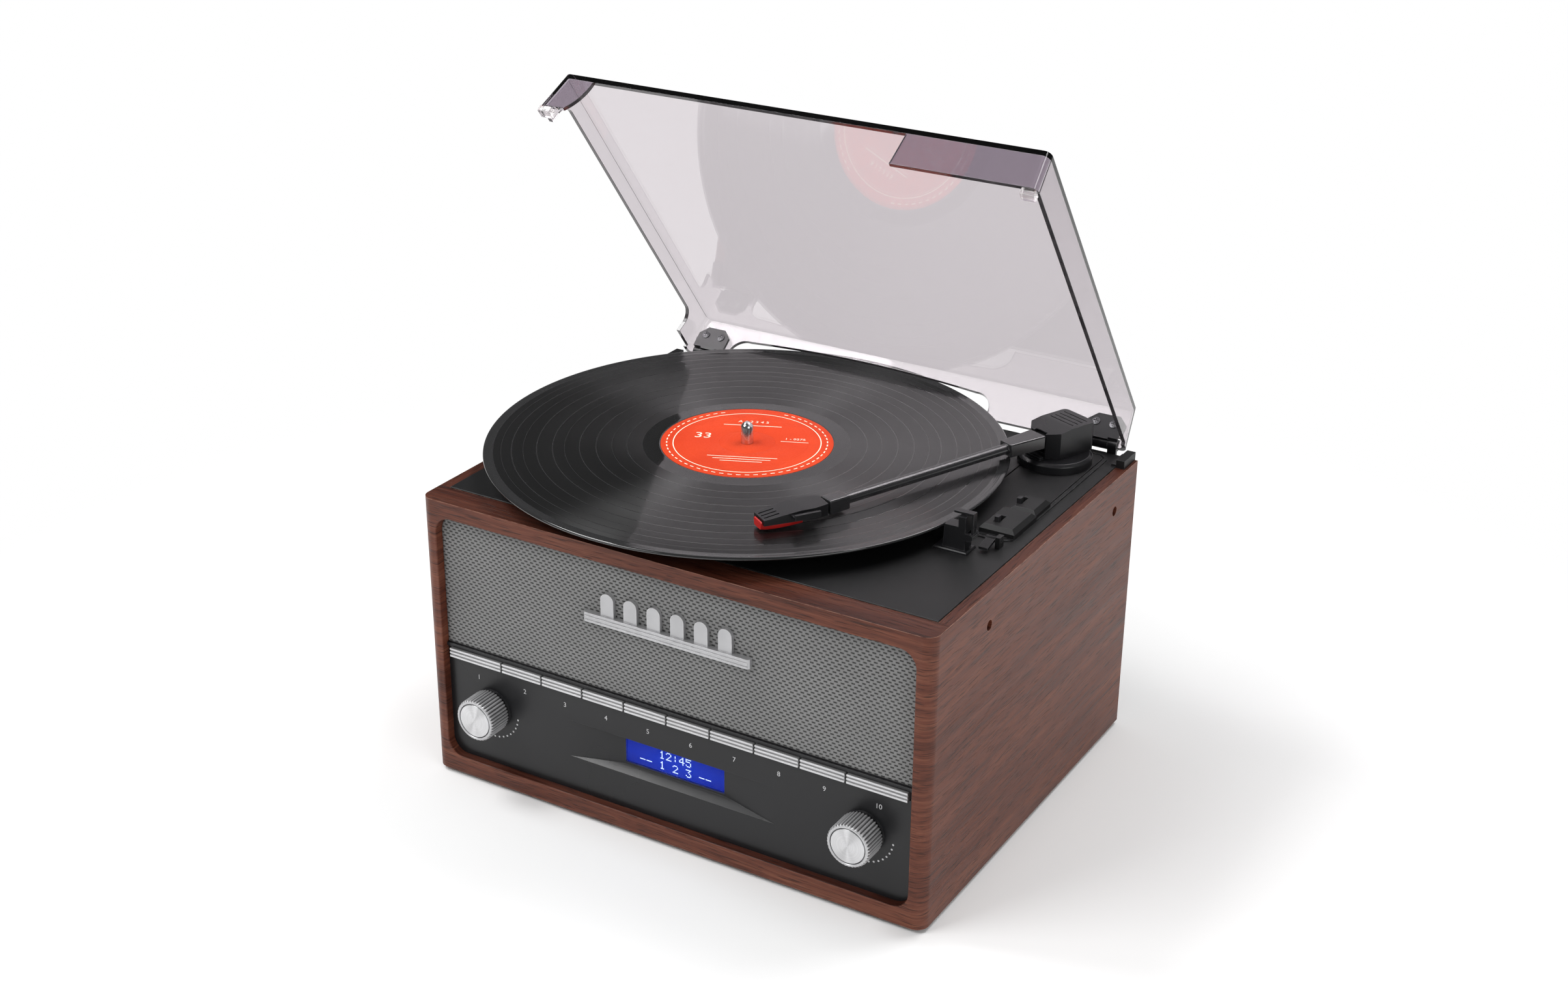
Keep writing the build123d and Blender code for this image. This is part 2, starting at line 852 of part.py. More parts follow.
def motor_place():
    angle = math.radians(motor_angle)
    return record_x + motor_distance * math.cos(angle), record_y + motor_distance * math.sin(angle)


def lift_bar_place():
    angle = math.radians(arm_angle)
    return pivot_x - lift_bar_out * math.sin(angle), pivot_y - lift_bar_out * math.cos(angle)


def switch_block(limits, slider_y):
    block_top = cabinet_height + switch_block_height
    body = block(*limits, deck_top, block_top)
    body = chamfer(body.faces().sort_by(Axis.Z)[-1].edges(), switch_block_chamfer)
    half = slider_slot_width / 2
    slot_front = slider_y - slider_length / 2 - move_gap
    return body - block(slider_x - half, slider_x + half, slot_front, slot_front + slider_slot_length,
                        block_top - slider_slot_depth, block_top)


def deck_ears():
    # Beside each hinge a low foot runs onto the cabinet's top, with a stop outside the lid's wall.
    ears = []
    outer = deck_half + deck_ear_width
    for side in (-1, 1):
        for inner, height in ((deck_half - deck_rebate, deck_ear_foot_height), (deck_half, deck_ear_height)):
            ends = sorted((side * inner, side * outer))
            ears.append(block(*ends, back_y - deck_ear_length, back_y, cabinet_height, cabinet_height + height))
    return ears


def make_deck():
    deck = wide_block(deck_half - fit_gap, deck_front + fit_gap, back_y, rebate_floor, deck_top)
    deck = chamfer(deck.faces().sort_by(Axis.Z)[-1].edges(), deck_rise / 2)
    panel = RectangleRounded(arm_panel_right - arm_panel_left, arm_panel_back - arm_panel_front, arm_panel_radius)
    panel = Pos((arm_panel_left + arm_panel_right) / 2, (arm_panel_front + arm_panel_back) / 2) * panel
    deck += beside_record(flat_sheet(panel, deck_top, arm_panel_top))
    line = panel_ring(arm_panel_left + 2 * arm_panel_line, arm_panel_right - 2 * arm_panel_line,
                      arm_panel_front + 2 * arm_panel_line, arm_panel_back - 2 * arm_panel_line,
                      arm_panel_radius - 2 * arm_panel_line)
    deck -= beside_record(flat_sheet(line, deck_top, arm_panel_top))
    deck += deck_ears()
    deck += beside_record(switch_block(front_switch, slider_front_y))
    deck += beside_record(switch_block(back_switch, slider_back_y))
    lug_right = cue_lug_left + cue_lug_width
    lug = block(cue_lug_left, lug_right, cue_hub_y - cue_lug_length / 2, cue_hub_y + cue_lug_length / 2,
                deck_top, cabinet_height + cue_lug_height)
    lug -= lying_x(cue_hub_radius + bearing_gap, cue_hub_y, cabinet_height + cue_hub_height,
                   cue_lug_left, lug_right)
    deck += beside_record(lug)
    deck -= upright(bearing_radius + fit_gap, record_x, record_y, rebate_floor, deck_top)
    deck -= upright(pulley_hole_radius, *motor_place(), rebate_floor, deck_top)
    deck -= upright(arm_sleeve_radius + fit_gap, pivot_x, pivot_y, rebate_floor, arm_panel_top)
    deck -= upright(lift_post_radius + move_gap, *lift_bar_place(), rebate_floor, arm_panel_top)
    return deck


def make_slider(y):
    top = cabinet_height + switch_block_height
    half_x = slider_width / 2
    half_y = slider_length / 2
    slider = block(slider_x - half_x, slider_x + half_x, y - half_y, y + half_y,
                   top - slider_slot_depth + move_gap, top + slider_rise)
    return beside_record(slider)


# Platter, record and drive

def turned_about_record(points):
    profile = make_face(Polyline(*points, close=True))
    return Pos(record_x, record_y, 0) * revolve(Plane.XZ * profile, Axis.Z)


def make_spindle():
    low = deck_top - spindle_below_deck
    high = record_top + spindle_above_record
    body = upright(spindle_radius, record_x, record_y, low, high)
    body = chamfer(body.edges().filter_by(GeomType.CIRCLE).sort_by(Axis.Z)[-1], spindle_tip_chamfer)
    return body + upright(spindle_shoulder_radius, record_x, record_y,
                          platter_bottom - spindle_shoulder_height, platter_bottom)


def make_spindle_bearing():
    top = platter_bottom - spindle_shoulder_height - move_gap
    body = upright(bearing_radius, record_x, record_y, deck_top - spindle_below_deck - deck_rebate, top)
    body += upright(bearing_flange_radius, record_x, record_y,
                    rebate_floor - bearing_flange_thickness, rebate_floor)
    return body - upright(spindle_radius + bearing_gap, record_x, record_y,
                          deck_top - spindle_below_deck - move_gap, top)


def make_platter():
    hole = spindle_radius + fit_gap
    top_under = platter_top - platter_top_thickness
    ring_inner = belt_ring_radius - belt_ring_thickness
    rim_inner = platter_radius - platter_rim_thickness
    points = [(hole, platter_bottom), (hub_radius, platter_bottom), (hub_radius, top_under),
              (ring_inner, top_under), (ring_inner, platter_bottom), (belt_ring_radius, platter_bottom),
              (belt_ring_radius, top_under), (rim_inner, top_under), (rim_inner, platter_bottom),
              (platter_radius, platter_bottom), (platter_radius, platter_top), (hole, platter_top)]
    return turned_about_record(points)


def make_slip_mat():
    hole = spindle_radius + fit_gap
    points = [(hole, platter_top), (mat_radius, platter_top), (mat_radius, mat_top), (hole, mat_top)]
    return turned_about_record(points)


def make_record():
    grooves = record_top - record_groove_drop
    bed = record_top - label_thickness
    points = [(record_hole_radius, mat_top), (record_radius, mat_top), (record_radius, record_top),
              (record_radius - record_bead_width, record_top), (record_lead_in_radius, grooves),
              (record_run_out_radius, grooves), (record_land_radius, record_top),
              (label_radius + fit_gap, record_top), (label_radius + fit_gap, bed), (record_hole_radius, bed)]
    return turned_about_record(points)


def make_record_label():
    bed = record_top - label_thickness
    points = [(record_hole_radius, bed), (label_radius, bed), (label_radius, record_top),
              (record_hole_radius, record_top)]
    return turned_about_record(points)


def make_drive_motor():
    x, y = motor_place()
    top = rebate_floor
    motor = upright(motor_radius, x, y, top - motor_height, top)
    half = motor_screw_spacing / 2
    for step in (-1, 1):
        motor += upright(motor_ear_radius, x + step * half, y, top - deck_rebate, top)
    return motor - upright(motor_shaft_radius + bearing_gap, x, y, top - motor_bore_depth, top)


def make_motor_pulley():
    x, y = motor_place()
    middle = platter_bottom + (platter_height - platter_top_thickness) / 2
    low = middle - belt_height / 2 - pulley_flange_thickness
    high = middle + belt_height / 2 + pulley_flange_thickness / 2
    pulley = upright(pulley_radius, x, y, low, high)
    pulley += upright(pulley_flange_radius, x, y, low, low + pulley_flange_thickness / 2)
    return pulley + upright(motor_shaft_radius, x, y, rebate_floor - motor_bore_depth + move_gap, low)


def belt_outline(extra):
    x, y = motor_place()
    big = Pos(record_x, record_y) * Circle(belt_ring_radius + extra)
    small = Pos(x, y) * Circle(pulley_radius + extra)
    return make_hull(big.edges() + small.edges())


def make_drive_belt():
    middle = platter_bottom + (platter_height - platter_top_thickness) / 2
    loop = belt_outline(move_gap + belt_thickness) - belt_outline(move_gap)
    return flat_sheet(loop, middle - belt_height / 2, middle + belt_height / 2)


# Tonearm, drawn with its pivot at X 0, Y 0 and its head towards -Y, then turned to its place

def arm_placed(shape):
    return Pos(pivot_x, pivot_y, 0) * Rot(Z=-arm_angle) * shape


def head_placed(shape):
    return arm_placed(Pos(0, -(tube_end + connector_length), 0) * Rot(Z=-headshell_angle) * shape)


def make_tonearm_base():
    base = upright(arm_base_radius, pivot_x, pivot_y, arm_panel_top, arm_base_top)
    base = chamfer(base.edges().filter_by(GeomType.CIRCLE).sort_by(Axis.Z)[-1], arm_base_chamfer)
    base += upright(arm_sleeve_radius, pivot_x, pivot_y, deck_top - arm_sleeve_depth, arm_panel_top)
    base -= upright(arm_shaft_radius + bearing_gap, pivot_x, pivot_y, deck_top - arm_sleeve_depth, arm_base_top)
    return base - upright(lift_post_radius + move_gap, *lift_bar_place(), arm_panel_top, arm_base_top)


def housing_outline():
    points = [(-housing_left, housing_back), (-housing_left, -housing_front + housing_corner),
              (-housing_left + housing_corner, -housing_front), (housing_right - housing_corner, -housing_front),
              (housing_right, -housing_front + housing_corner), (housing_right, housing_back)]
    outline = make_face(Polyline(*points, close=True))
    return fillet(outline.vertices().group_by(Axis.Y)[-1], housing_corner_radius)


def make_tonearm_housing():
    low = arm_base_top + move_gap
    front_top = cabinet_height + housing_front_top
    back_top = cabinet_height + housing_back_top
    body = flat_sheet(housing_outline(), low, back_top)
    slope = [(-housing_front, front_top), (housing_bend, back_top), (-housing_front, back_top)]
    body -= side_sheet(slope, -housing_left, housing_right)
    for index in range(housing_groove_count):
        y = housing_bend + (index + 1) * housing_groove_pitch
        body -= block(-housing_left + housing_groove_inset, housing_right - housing_groove_inset,
                      y, y + housing_groove_width, back_top - housing_groove_depth, back_top)
    slot_floor = cabinet_height + housing_slot_floor
    body -= block(-housing_slot_half, housing_slot_half, -housing_front, housing_slot_back, slot_floor, back_top)
    cover = block(-housing_slot_half, housing_slot_half, -housing_cover_front,
                  housing_slot_back, front_top - move_gap, back_top)
    body += cover - side_sheet(slope, -housing_left, housing_right)
    body += lying_x(lift_pin_radius, -lift_axis_out, tube_z, -housing_slot_half, housing_slot_half)
    body += upright(arm_shaft_radius, 0, 0, deck_top - arm_shaft_depth, low)
    return arm_placed(body)


def make_tonearm_tube():
    tube = lying_y(tube_radius, 0, tube_z, -tube_end, -tube_start)
    rear = Plane(origin=(0, -box_start, tube_z), x_dir=(1, 0, 0), z_dir=(0, -1, 0))
    front = Plane(origin=(0, -tube_start - tube_radius, tube_z), x_dir=(1, 0, 0), z_dir=(0, -1, 0))
    box = loft([rear * Rectangle(box_rear_width, box_height), front * Rectangle(box_front_width, box_height)],
               ruled=True)
    tube += chamfer(box.edges().group_by(Axis.Z)[-1].filter_by(Axis.X, reverse=True), box_edge)
    neck = block(-neck_width / 2, neck_width / 2, -box_start, neck_back - lift_axis_out,
                 tube_z - neck_height / 2, tube_z + neck_height / 2)
    neck -= lying_x(lift_pin_radius + bearing_gap, -lift_axis_out, tube_z, -neck_width / 2, neck_width / 2)
    tube += neck
    half = connector_width / 2
    end = block(-half, half, -tube_end - connector_length, -tube_end + headshell_gap,
                tube_z - connector_height / 2, tube_z + connector_height / 2)
    tube += chamfer(end.edges().group_by(Axis.Z)[-1], box_edge)
    return arm_placed(tube)


def headshell_outline():
    rear = headshell_rear_width / 2
    wide = headshell_width / 2
    nose = headshell_nose_width / 2
    start = -connector_width / 2 * math.sin(math.radians(headshell_angle)) - headshell_gap
    return make_face(Polyline((-rear, start), (-wide, -headshell_shoulder), (-wide, -headshell_bend),
                              (-nose, -headshell_length), (nose, -headshell_length), (wide, -headshell_bend),
                              (wide, -headshell_shoulder), (rear, start), close=True))


def make_headshell():
    low = cabinet_height + headshell_bottom
    high = cabinet_height + headshell_top
    nose_low = cabinet_height + headshell_nose_bottom
    nose_high = cabinet_height + headshell_nose_top
    shell = flat_sheet(headshell_outline(), low, high)
    side = [(0, low), (-headshell_bend, nose_low), (-headshell_length, nose_low),
            (-headshell_length, nose_high), (-headshell_bend, high), (0, high)]
    shell &= side_sheet(side, -headshell_width, headshell_width)
    for step in (-1, 0, 1):
        x = step * headshell_slot_spacing
        y_low = -headshell_length + headshell_slot_width
        shell -= block(x - headshell_slot_width / 2, x + headshell_slot_width / 2,
                       y_low, y_low + headshell_slot_length,
                       (nose_low + nose_high) / 2, high)
    wide = headshell_width / 2
    tab_top = high - finger_thickness
    shell += block(wide - finger_thickness, wide + finger_reach, -finger_end, -finger_start,
                   tab_top - finger_thickness, tab_top)
    shell += block(wide + finger_reach - finger_thickness, wide + finger_reach, -finger_end, -finger_start,
                   tab_top - finger_thickness, high)
    half = cartridge_width / 2
    shell -= block(-half - fit_gap, half + fit_gap, -cartridge_end - fit_gap, -cartridge_start + fit_gap,
                   low, nose_low + fit_gap)
    return head_placed(shell)


def make_cartridge():
    low = cabinet_height + cartridge_bottom
    high = cabinet_height + headshell_nose_bottom
    side = [(-cartridge_start, high), (-cartridge_start - cartridge_nose_rise, low),
            (-cartridge_end + cartridge_nose_rise, low), (-cartridge_end, low + cartridge_nose_rise),
            (-cartridge_end, high)]
    body = side_sheet(side, -cartridge_width / 2, cartridge_width / 2)
    return head_placed(body)


def make_stylus():
    tip = record_top + stylus_above_record
    top = cabinet_height + cartridge_bottom
    return head_placed(upright(stylus_radius, 0, -stylus_out, tip, top))


# Arm rest, cue lever and lift bar

def make_arm_rest():
    plate_top = deck_top + rest_plate_thickness
    plate = block(rest_left, rest_right, rest_front, rest_back, deck_top, plate_top)
    plate = chamfer(plate.faces().sort_by(Axis.Z)[-1].edges(), rest_plate_chamfer)
    stop_top = cabinet_height + rest_stop_top
    outline = make_face(Polyline((rest_post_bottom_left, plate_top), (rest_post_right, plate_top),
                                 (rest_post_right, stop_top), (rest_seat_right, stop_top),
                                 (rest_seat_right, seat_z), (rest_post_top_left, seat_z), close=True))
    post = front_sheet(outline, rest_post_front, rest_post_front + rest_post_depth)
    middle = rest_post_front + rest_post_depth / 2
    z = cabinet_height + clip_pin_height
    lug = block(rest_post_right, clip_pin_x, rest_post_front, rest_post_front + rest_post_depth,
                z - clip_eye_radius, z + clip_eye_radius)
    lug += lying_y(clip_eye_radius, clip_pin_x, z, rest_post_front, rest_post_front + rest_post_depth)
    half = clip_width / 2 + move_gap
    reach = clip_eye_radius + move_gap
    lug -= block(clip_pin_x - reach, clip_pin_x + reach, middle - half, middle + half, z - reach, z + reach)
    pin = lying_y(clip_pin_radius, clip_pin_x, z, rest_post_front, rest_post_front + rest_post_depth)
    return beside_record(plate + post + lug + pin)


def make_arm_rest_clip():
    middle = rest_post_front + rest_post_depth / 2
    z = cabinet_height + clip_pin_height
    y_low = middle - clip_width / 2
    y_high = middle + clip_width / 2
    clip = lying_y(clip_eye_radius, clip_pin_x, z, y_low, y_high)
    clip += block(clip_pin_x, clip_pin_x + clip_thickness, y_low, y_high, z, clip_top_z + clip_thickness)
    clip += block(clip_reach_x, clip_pin_x + clip_thickness, y_low, y_high, clip_top_z, clip_top_z + clip_thickness)
    clip -= lying_y(clip_pin_radius + bearing_gap, clip_pin_x, z, y_low, y_high)
    return beside_record(clip)


def make_cue_lever():
    z = cabinet_height + cue_hub_height
    lever = lying_x(cue_hub_radius, cue_hub_y, z, cue_hub_left, cue_lug_left + cue_lug_width)
    half = cue_paddle_thickness / 2
    tip_y = cue_hub_y - cue_paddle_reach
    tip_z = z - cue_paddle_drop
    side = [(cue_hub_y, z + half), (cue_hub_y, z - half), (tip_y, tip_z - half), (tip_y, tip_z + half)]
    return beside_record(lever + side_sheet(side, cue_hub_left, cue_hub_left + cue_paddle_width))


def make_cue_lift_bar():
    x, y = lift_bar_place()
    z = arm_base_top + lift_bar_gap
    bar = Pos(x, y, z + lift_bar_thickness / 2) * Rot(Z=-arm_angle)
    bar *= Box(lift_bar_length, lift_bar_width, lift_bar_thickness)
    return bar + upright(lift_post_radius, x, y, deck_top - lift_post_depth, z)


# Hinges and lid

def lid_opened(shape):
    turn = Pos(0, hinge_y, hinge_z) * Rot(X=-lid_open_angle) * Pos(0, -hinge_y, -hinge_z)
    return turn * shape


def hinge_middles():
    return [side * (hinge_out - hinge_width / 2) for side in (-1, 1)]


def knuckle(x_low, x_high):
    return lying_x(hinge_knuckle_radius, hinge_y, hinge_z, x_low, x_high)


def make_hinge_bases():
    bases = []
    for x in hinge_middles():
        low = x - hinge_width / 2
        high = x + hinge_width / 2
        face = back_y + hinge_leaf_thickness
        base = block(low, high, back_y, face, cabinet_height - hinge_base_drop, cabinet_height - fit_gap)
        for start, end in ((low, low + hinge_end_knuckle), (high - hinge_end_knuckle, high)):
            base += block(start, end, back_y, face, cabinet_height - fit_gap, hinge_z)
            base += knuckle(start, end)
        base += lying_x(hinge_pin_radius, hinge_y, hinge_z, low, high)
        bases.append(base)
    return bases


def leaf_y():
    # The leaf lies against the inside of the lid's back wall, just clear of its lowest inner corner.
    return lid_back_top - lid_thickness - fit_gap


def make_hinge_leaves():
    leaves = []
    for x in hinge_middles():
        low = x - hinge_width / 2
        high = x + hinge_width / 2
        bottom = hinge_z + hinge_leaf_bottom
        top = hinge_z + hinge_leaf_height
        outline = make_face(Polyline((low, bottom), (high, bottom), (high, top - hinge_leaf_corner),
                                     (high - hinge_leaf_corner, top), (low + hinge_leaf_corner, top),
                                     (low, top - hinge_leaf_corner), close=True))
        leaf = front_sheet(outline, leaf_y() - hinge_leaf_thickness, leaf_y())
        arm_low = low + hinge_end_knuckle + move_gap
        arm_high = high - hinge_end_knuckle - move_gap
        leaf += block(arm_low, arm_high, leaf_y() - hinge_leaf_thickness, hinge_y, hinge_z, bottom)
        leaf += knuckle(arm_low, arm_high)
        leaf -= lying_x(hinge_pin_radius + bearing_gap, hinge_y, hinge_z, arm_low, arm_high)
        leaves.append(lid_opened(leaf))
    return leaves


def lid_section(inset, height):
    # The outline at a height above the cabinet. The walls lean in from the rim to the top.
    share = (height - back_rim) / (lid_top - back_rim)
    half = lid_half_rim + (lid_half_top - lid_half_rim) * share - inset
    front = lid_front_rim + (lid_front_top - lid_front_rim) * share - inset
    back = lid_back_rim + (lid_back_top - lid_back_rim) * share - inset
    outline = RectangleRounded(2 * half, front + back, lid_corner_radius - inset / 2)
    return Pos(0, (back - front) / 2, cabinet_height + height) * outline


def lid_block(inset, top):
    return loft([lid_section(inset, back_rim), lid_section(inset, top)], ruled=True)


def front_cut():
    # The curved ear at the left is one arc from the rim to the lip.
    low = cabinet_height
    high = cabinet_height + lid_top - front_lip
    bend = (front_cut_bend_x, low + front_cut_bend_height)
    ear = ThreePointArc((front_cut_left, low), bend, (front_cut_left_top, high))
    rest = Polyline((front_cut_left_top, high), (front_cut_right, high), (front_cut_right, low),
                    (front_cut_left, low))
    face = make_face(Curve() + [ear, rest])
    return front_sheet(face, -lid_front_rim - wall_cut_reach, -lid_front_rim + wall_cut_reach)


def left_cut():
    low = cabinet_height
    high = cabinet_height + lid_top - left_lip
    plane = Plane(origin=(-lid_half_rim - wall_cut_reach, 0, 0), x_dir=(0, 1, 0), z_dir=(1, 0, 0))
    height = 2 * (high - low)
    outline = Pos((left_cut_front + left_cut_back) / 2, low)
    outline *= RectangleRounded(left_cut_back - left_cut_front, height, left_cut_radius)
    return extrude(plane * outline, 2 * wall_cut_reach)


def back_cut():
    # A flat arch with steep round shoulders, centred on the record. Each shoulder is an arc
    # whose middle point lies at 45 degrees.
    low = cabinet_height
    corner = cabinet_height + back_cut_corner_height
    shoulder = cabinet_height + back_cut_shoulder_height
    top = cabinet_height + back_cut_top
    left = record_x - back_cut_half
    right = record_x + back_cut_half
    shoulder_left = record_x - back_cut_shoulder
    shoulder_right = record_x + back_cut_shoulder
    drop = back_cut_half - back_cut_shoulder
    rise = shoulder - corner
    turn = math.sin(math.radians(45))
    arch = ThreePointArc((shoulder_left, shoulder), (record_x, top), (shoulder_right, shoulder))
    left_bend = (shoulder_left - drop * turn, corner + rise * turn)
    right_bend = (shoulder_right + drop * turn, corner + rise * turn)
    left_arc = ThreePointArc((left, corner), left_bend, (shoulder_left, shoulder))
    right_arc = ThreePointArc((shoulder_right, shoulder), right_bend, (right, corner))
    rest = Polyline((right, corner), (right, low), (left, low), (left, corner))
    face = make_face(Curve() + [left_arc, arch, right_arc, rest])
    return front_sheet(face, lid_back_rim - wall_cut_reach, lid_back_rim + wall_cut_reach)


def make_lid():
    lid = lid_block(0, lid_top) - lid_block(lid_thickness, lid_top - lid_thickness)
    low = cabinet_height
    rim = cabinet_height + lid_rim
    hinge_front = lid_back_rim - wall_cut_reach
    lid -= wide_block(lid_half_rim, -lid_front_rim, hinge_front, low, rim)
    lid -= front_cut()
    lid -= left_cut()
    lid -= back_cut()
    for x in hinge_middles():
        half = hinge_width / 2 + move_gap
        lid -= block(x - half, x + half, hinge_front, lid_back_rim + wall_cut_reach,
                     low, cabinet_height + hinge_notch_height)
    return lid_opened(lid)


def make_lid_bumpers():
    bumpers = []
    for side in (-1, 1):
        outer = side * (lid_half_rim - lid_thickness / 2)
        ends = sorted((outer, outer - side * bumper_length))
        front = -lid_front_rim + bumper_inset
        body = block(*ends, front, front + bumper_width, deck_top + move_gap, cabinet_height + lid_rim)
        bumpers.append(lid_opened(body))
    return bumpers


def collect_parts():
    parts = {
        "cabinet_wrap": make_cabinet_wrap(),
        "bottom_board": make_bottom_board(),
        "back_panel": make_back_panel(),
        "feet": make_feet(),
        "screws": make_screws(),
        "speaker_baffle": make_baffle(),
        "grille_cloth": grille_sheet(grille_y, baffle_y),
        "speakers": [speaker_at(x) for x in speaker_places()],
        "badge": make_badge(),
        "fascia": make_fascia(),
        "display_window": make_display_window(),
        "display_module": make_display_module(),
        "front_board": make_front_board(),
        "panel_controls": make_panel_controls(),
        "main_board": make_main_board(),
        "transformer": make_transformer(),
        "socket_panel": make_socket_panel(),
        "mains_inlet": make_mains_inlet(),
        "deck_plate": make_deck(),
        "speed_switch": make_slider(slider_front_y),
        "stop_switch": make_slider(slider_back_y),
        "spindle": make_spindle(),
        "spindle_bearing": make_spindle_bearing(),
        "platter": make_platter(),
        "slip_mat": make_slip_mat(),
        "record": make_record(),
        "record_label": make_record_label(),
        "drive_motor": make_drive_motor(),
        "motor_pulley": make_motor_pulley(),
        "drive_belt": make_drive_belt(),
        "tonearm_base": make_tonearm_base(),
        "tonearm_housing": make_tonearm_housing(),
        "tonearm_tube": make_tonearm_tube(),
        "headshell": make_headshell(),
        "cartridge": make_cartridge(),
        "stylus": make_stylus(),
        "arm_rest": make_arm_rest(),
        "arm_rest_clip": make_arm_rest_clip(),
        "cue_lever": make_cue_lever(),
        "cue_lift_bar": make_cue_lift_bar(),
        "hinge_bases": make_hinge_bases(),
        "hinge_leaves": make_hinge_leaves(),
        "lid": make_lid(),
        "lid_bumpers": make_lid_bumpers(),
    }
    for index in range(button_count):
        parts[f"button_{index + 1}"] = make_button(index)
    for name, x in zip(("volume", "tuning"), knob_places()):
        parts[f"{name}_knob"] = make_knob(x)
        parts[f"{name}_knob_cap"] = make_knob_cap(x)
        parts[f"{name}_shaft"] = make_knob_shaft(x)
    return parts


os.makedirs("parts", exist_ok=True)
for name, shape in collect_parts().items():
    solid = Compound(children=shape) if isinstance(shape, list) else shape
    export_step(solid, f"parts/{name}.step")
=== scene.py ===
import json
import math

import bmesh
import bpy
import numpy as np
from mathutils import Matrix, Vector


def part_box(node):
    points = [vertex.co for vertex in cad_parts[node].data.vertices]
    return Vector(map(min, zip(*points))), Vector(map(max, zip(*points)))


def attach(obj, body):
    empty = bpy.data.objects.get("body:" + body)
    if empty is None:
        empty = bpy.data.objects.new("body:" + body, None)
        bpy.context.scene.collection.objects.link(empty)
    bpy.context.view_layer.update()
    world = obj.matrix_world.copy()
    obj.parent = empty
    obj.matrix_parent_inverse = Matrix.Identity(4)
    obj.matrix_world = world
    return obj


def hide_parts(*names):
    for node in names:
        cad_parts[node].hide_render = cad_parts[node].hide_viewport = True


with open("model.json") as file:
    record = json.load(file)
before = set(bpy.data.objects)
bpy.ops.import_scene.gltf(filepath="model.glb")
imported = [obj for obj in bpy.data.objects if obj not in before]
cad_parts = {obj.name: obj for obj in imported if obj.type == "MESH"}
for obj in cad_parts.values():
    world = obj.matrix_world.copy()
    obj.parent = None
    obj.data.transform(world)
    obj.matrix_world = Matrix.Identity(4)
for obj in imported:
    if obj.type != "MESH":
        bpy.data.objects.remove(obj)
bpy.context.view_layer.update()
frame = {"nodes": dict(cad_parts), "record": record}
record = frame["record"]
bodyOf = {node: body for body, nodes in record["behaviour"]["bodies"].items() for node in nodes}
slotOf = {part["node"]: part["material_slot"] for part in record["subparts"]}
mm = 0.001
print("frame loaded with", len(frame["nodes"]), "nodes")


def boxOf(node):
    low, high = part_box(node)
    return np.array(low), np.array(high)


def addObject(name, mesh):
    made = bpy.data.objects.new(name, mesh)
    bpy.context.scene.collection.objects.link(made)
    return made


def tidyMesh(mesh, sharpAngle=35, outwards=True):
    shape = bmesh.new()
    shape.from_mesh(mesh)
    bmesh.ops.remove_doubles(shape, verts=shape.verts, dist=1e-7)
    if outwards:
        bmesh.ops.recalc_face_normals(shape, faces=shape.faces)
    shape.to_mesh(mesh)
    shape.free()
    mesh.shade_smooth()
    mesh.set_sharp_from_angle(angle=math.radians(sharpAngle))
    return mesh


def gridMesh(name, points, wrapRows=False, wrapColumns=False, uv=None, caps=False, outwards=True, sharpAngle=35):
    # points[i, j] is the surface at step i of its first parameter and step j of its second. Four
    # neighbours make one face. A parameter that wraps joins its last step to its first, and caps
    # close the first and the last row of a tube.
    rows, columns = points.shape[:2]
    index = np.arange(rows * columns).reshape(rows, columns)
    below = np.roll(index, -1, 0)
    beside = np.roll(index, -1, 1)
    across = np.roll(below, -1, 1)
    faces = np.stack([index, below, across, beside], -1)
    faces = faces[: rows if wrapRows else rows - 1, : columns if wrapColumns else columns - 1]
    faces = faces.reshape(-1, 4).tolist()
    if caps:
        faces += [index[0].tolist(), index[-1][::-1].tolist()]
    mesh = bpy.data.meshes.new(name)
    mesh.from_pydata(points.reshape(-1, 3).tolist(), [], faces)
    if uv is not None:
        corners = np.stack([uv[:-1, :-1], uv[1:, :-1], uv[1:, 1:], uv[:-1, 1:]], 2).reshape(-1)
        layer = mesh.uv_layers.new(name="surface")
        layer.data.foreach_set("uv", corners)
    return addObject(name, tidyMesh(mesh, sharpAngle, outwards))


def roundedOutline(corners, radius, steps=3):
    # Each corner becomes a short curve between two points, one on each of its sides, at most the
    # radius away from it: start (1 - t)^2 + corner 2 t (1 - t) + end t^2.
    corners = np.asarray(corners, float)
    back = np.roll(corners, 1, 0) - corners
    ahead = np.roll(corners, -1, 0) - corners
    backLength = np.linalg.norm(back, axis=1)[:, None]
    aheadLength = np.linalg.norm(ahead, axis=1)[:, None]
    reach = np.minimum(radius, 0.45 * np.minimum(backLength, aheadLength))
    start = corners + back / backLength * reach
    end = corners + ahead / aheadLength * reach
    share = np.linspace(0, 1, steps + 1)[None, :, None]
    curve = start[:, None] * (1 - share) ** 2 + corners[:, None] * 2 * share * (1 - share) + end[:, None] * share ** 2
    return curve.reshape(-1, 2)


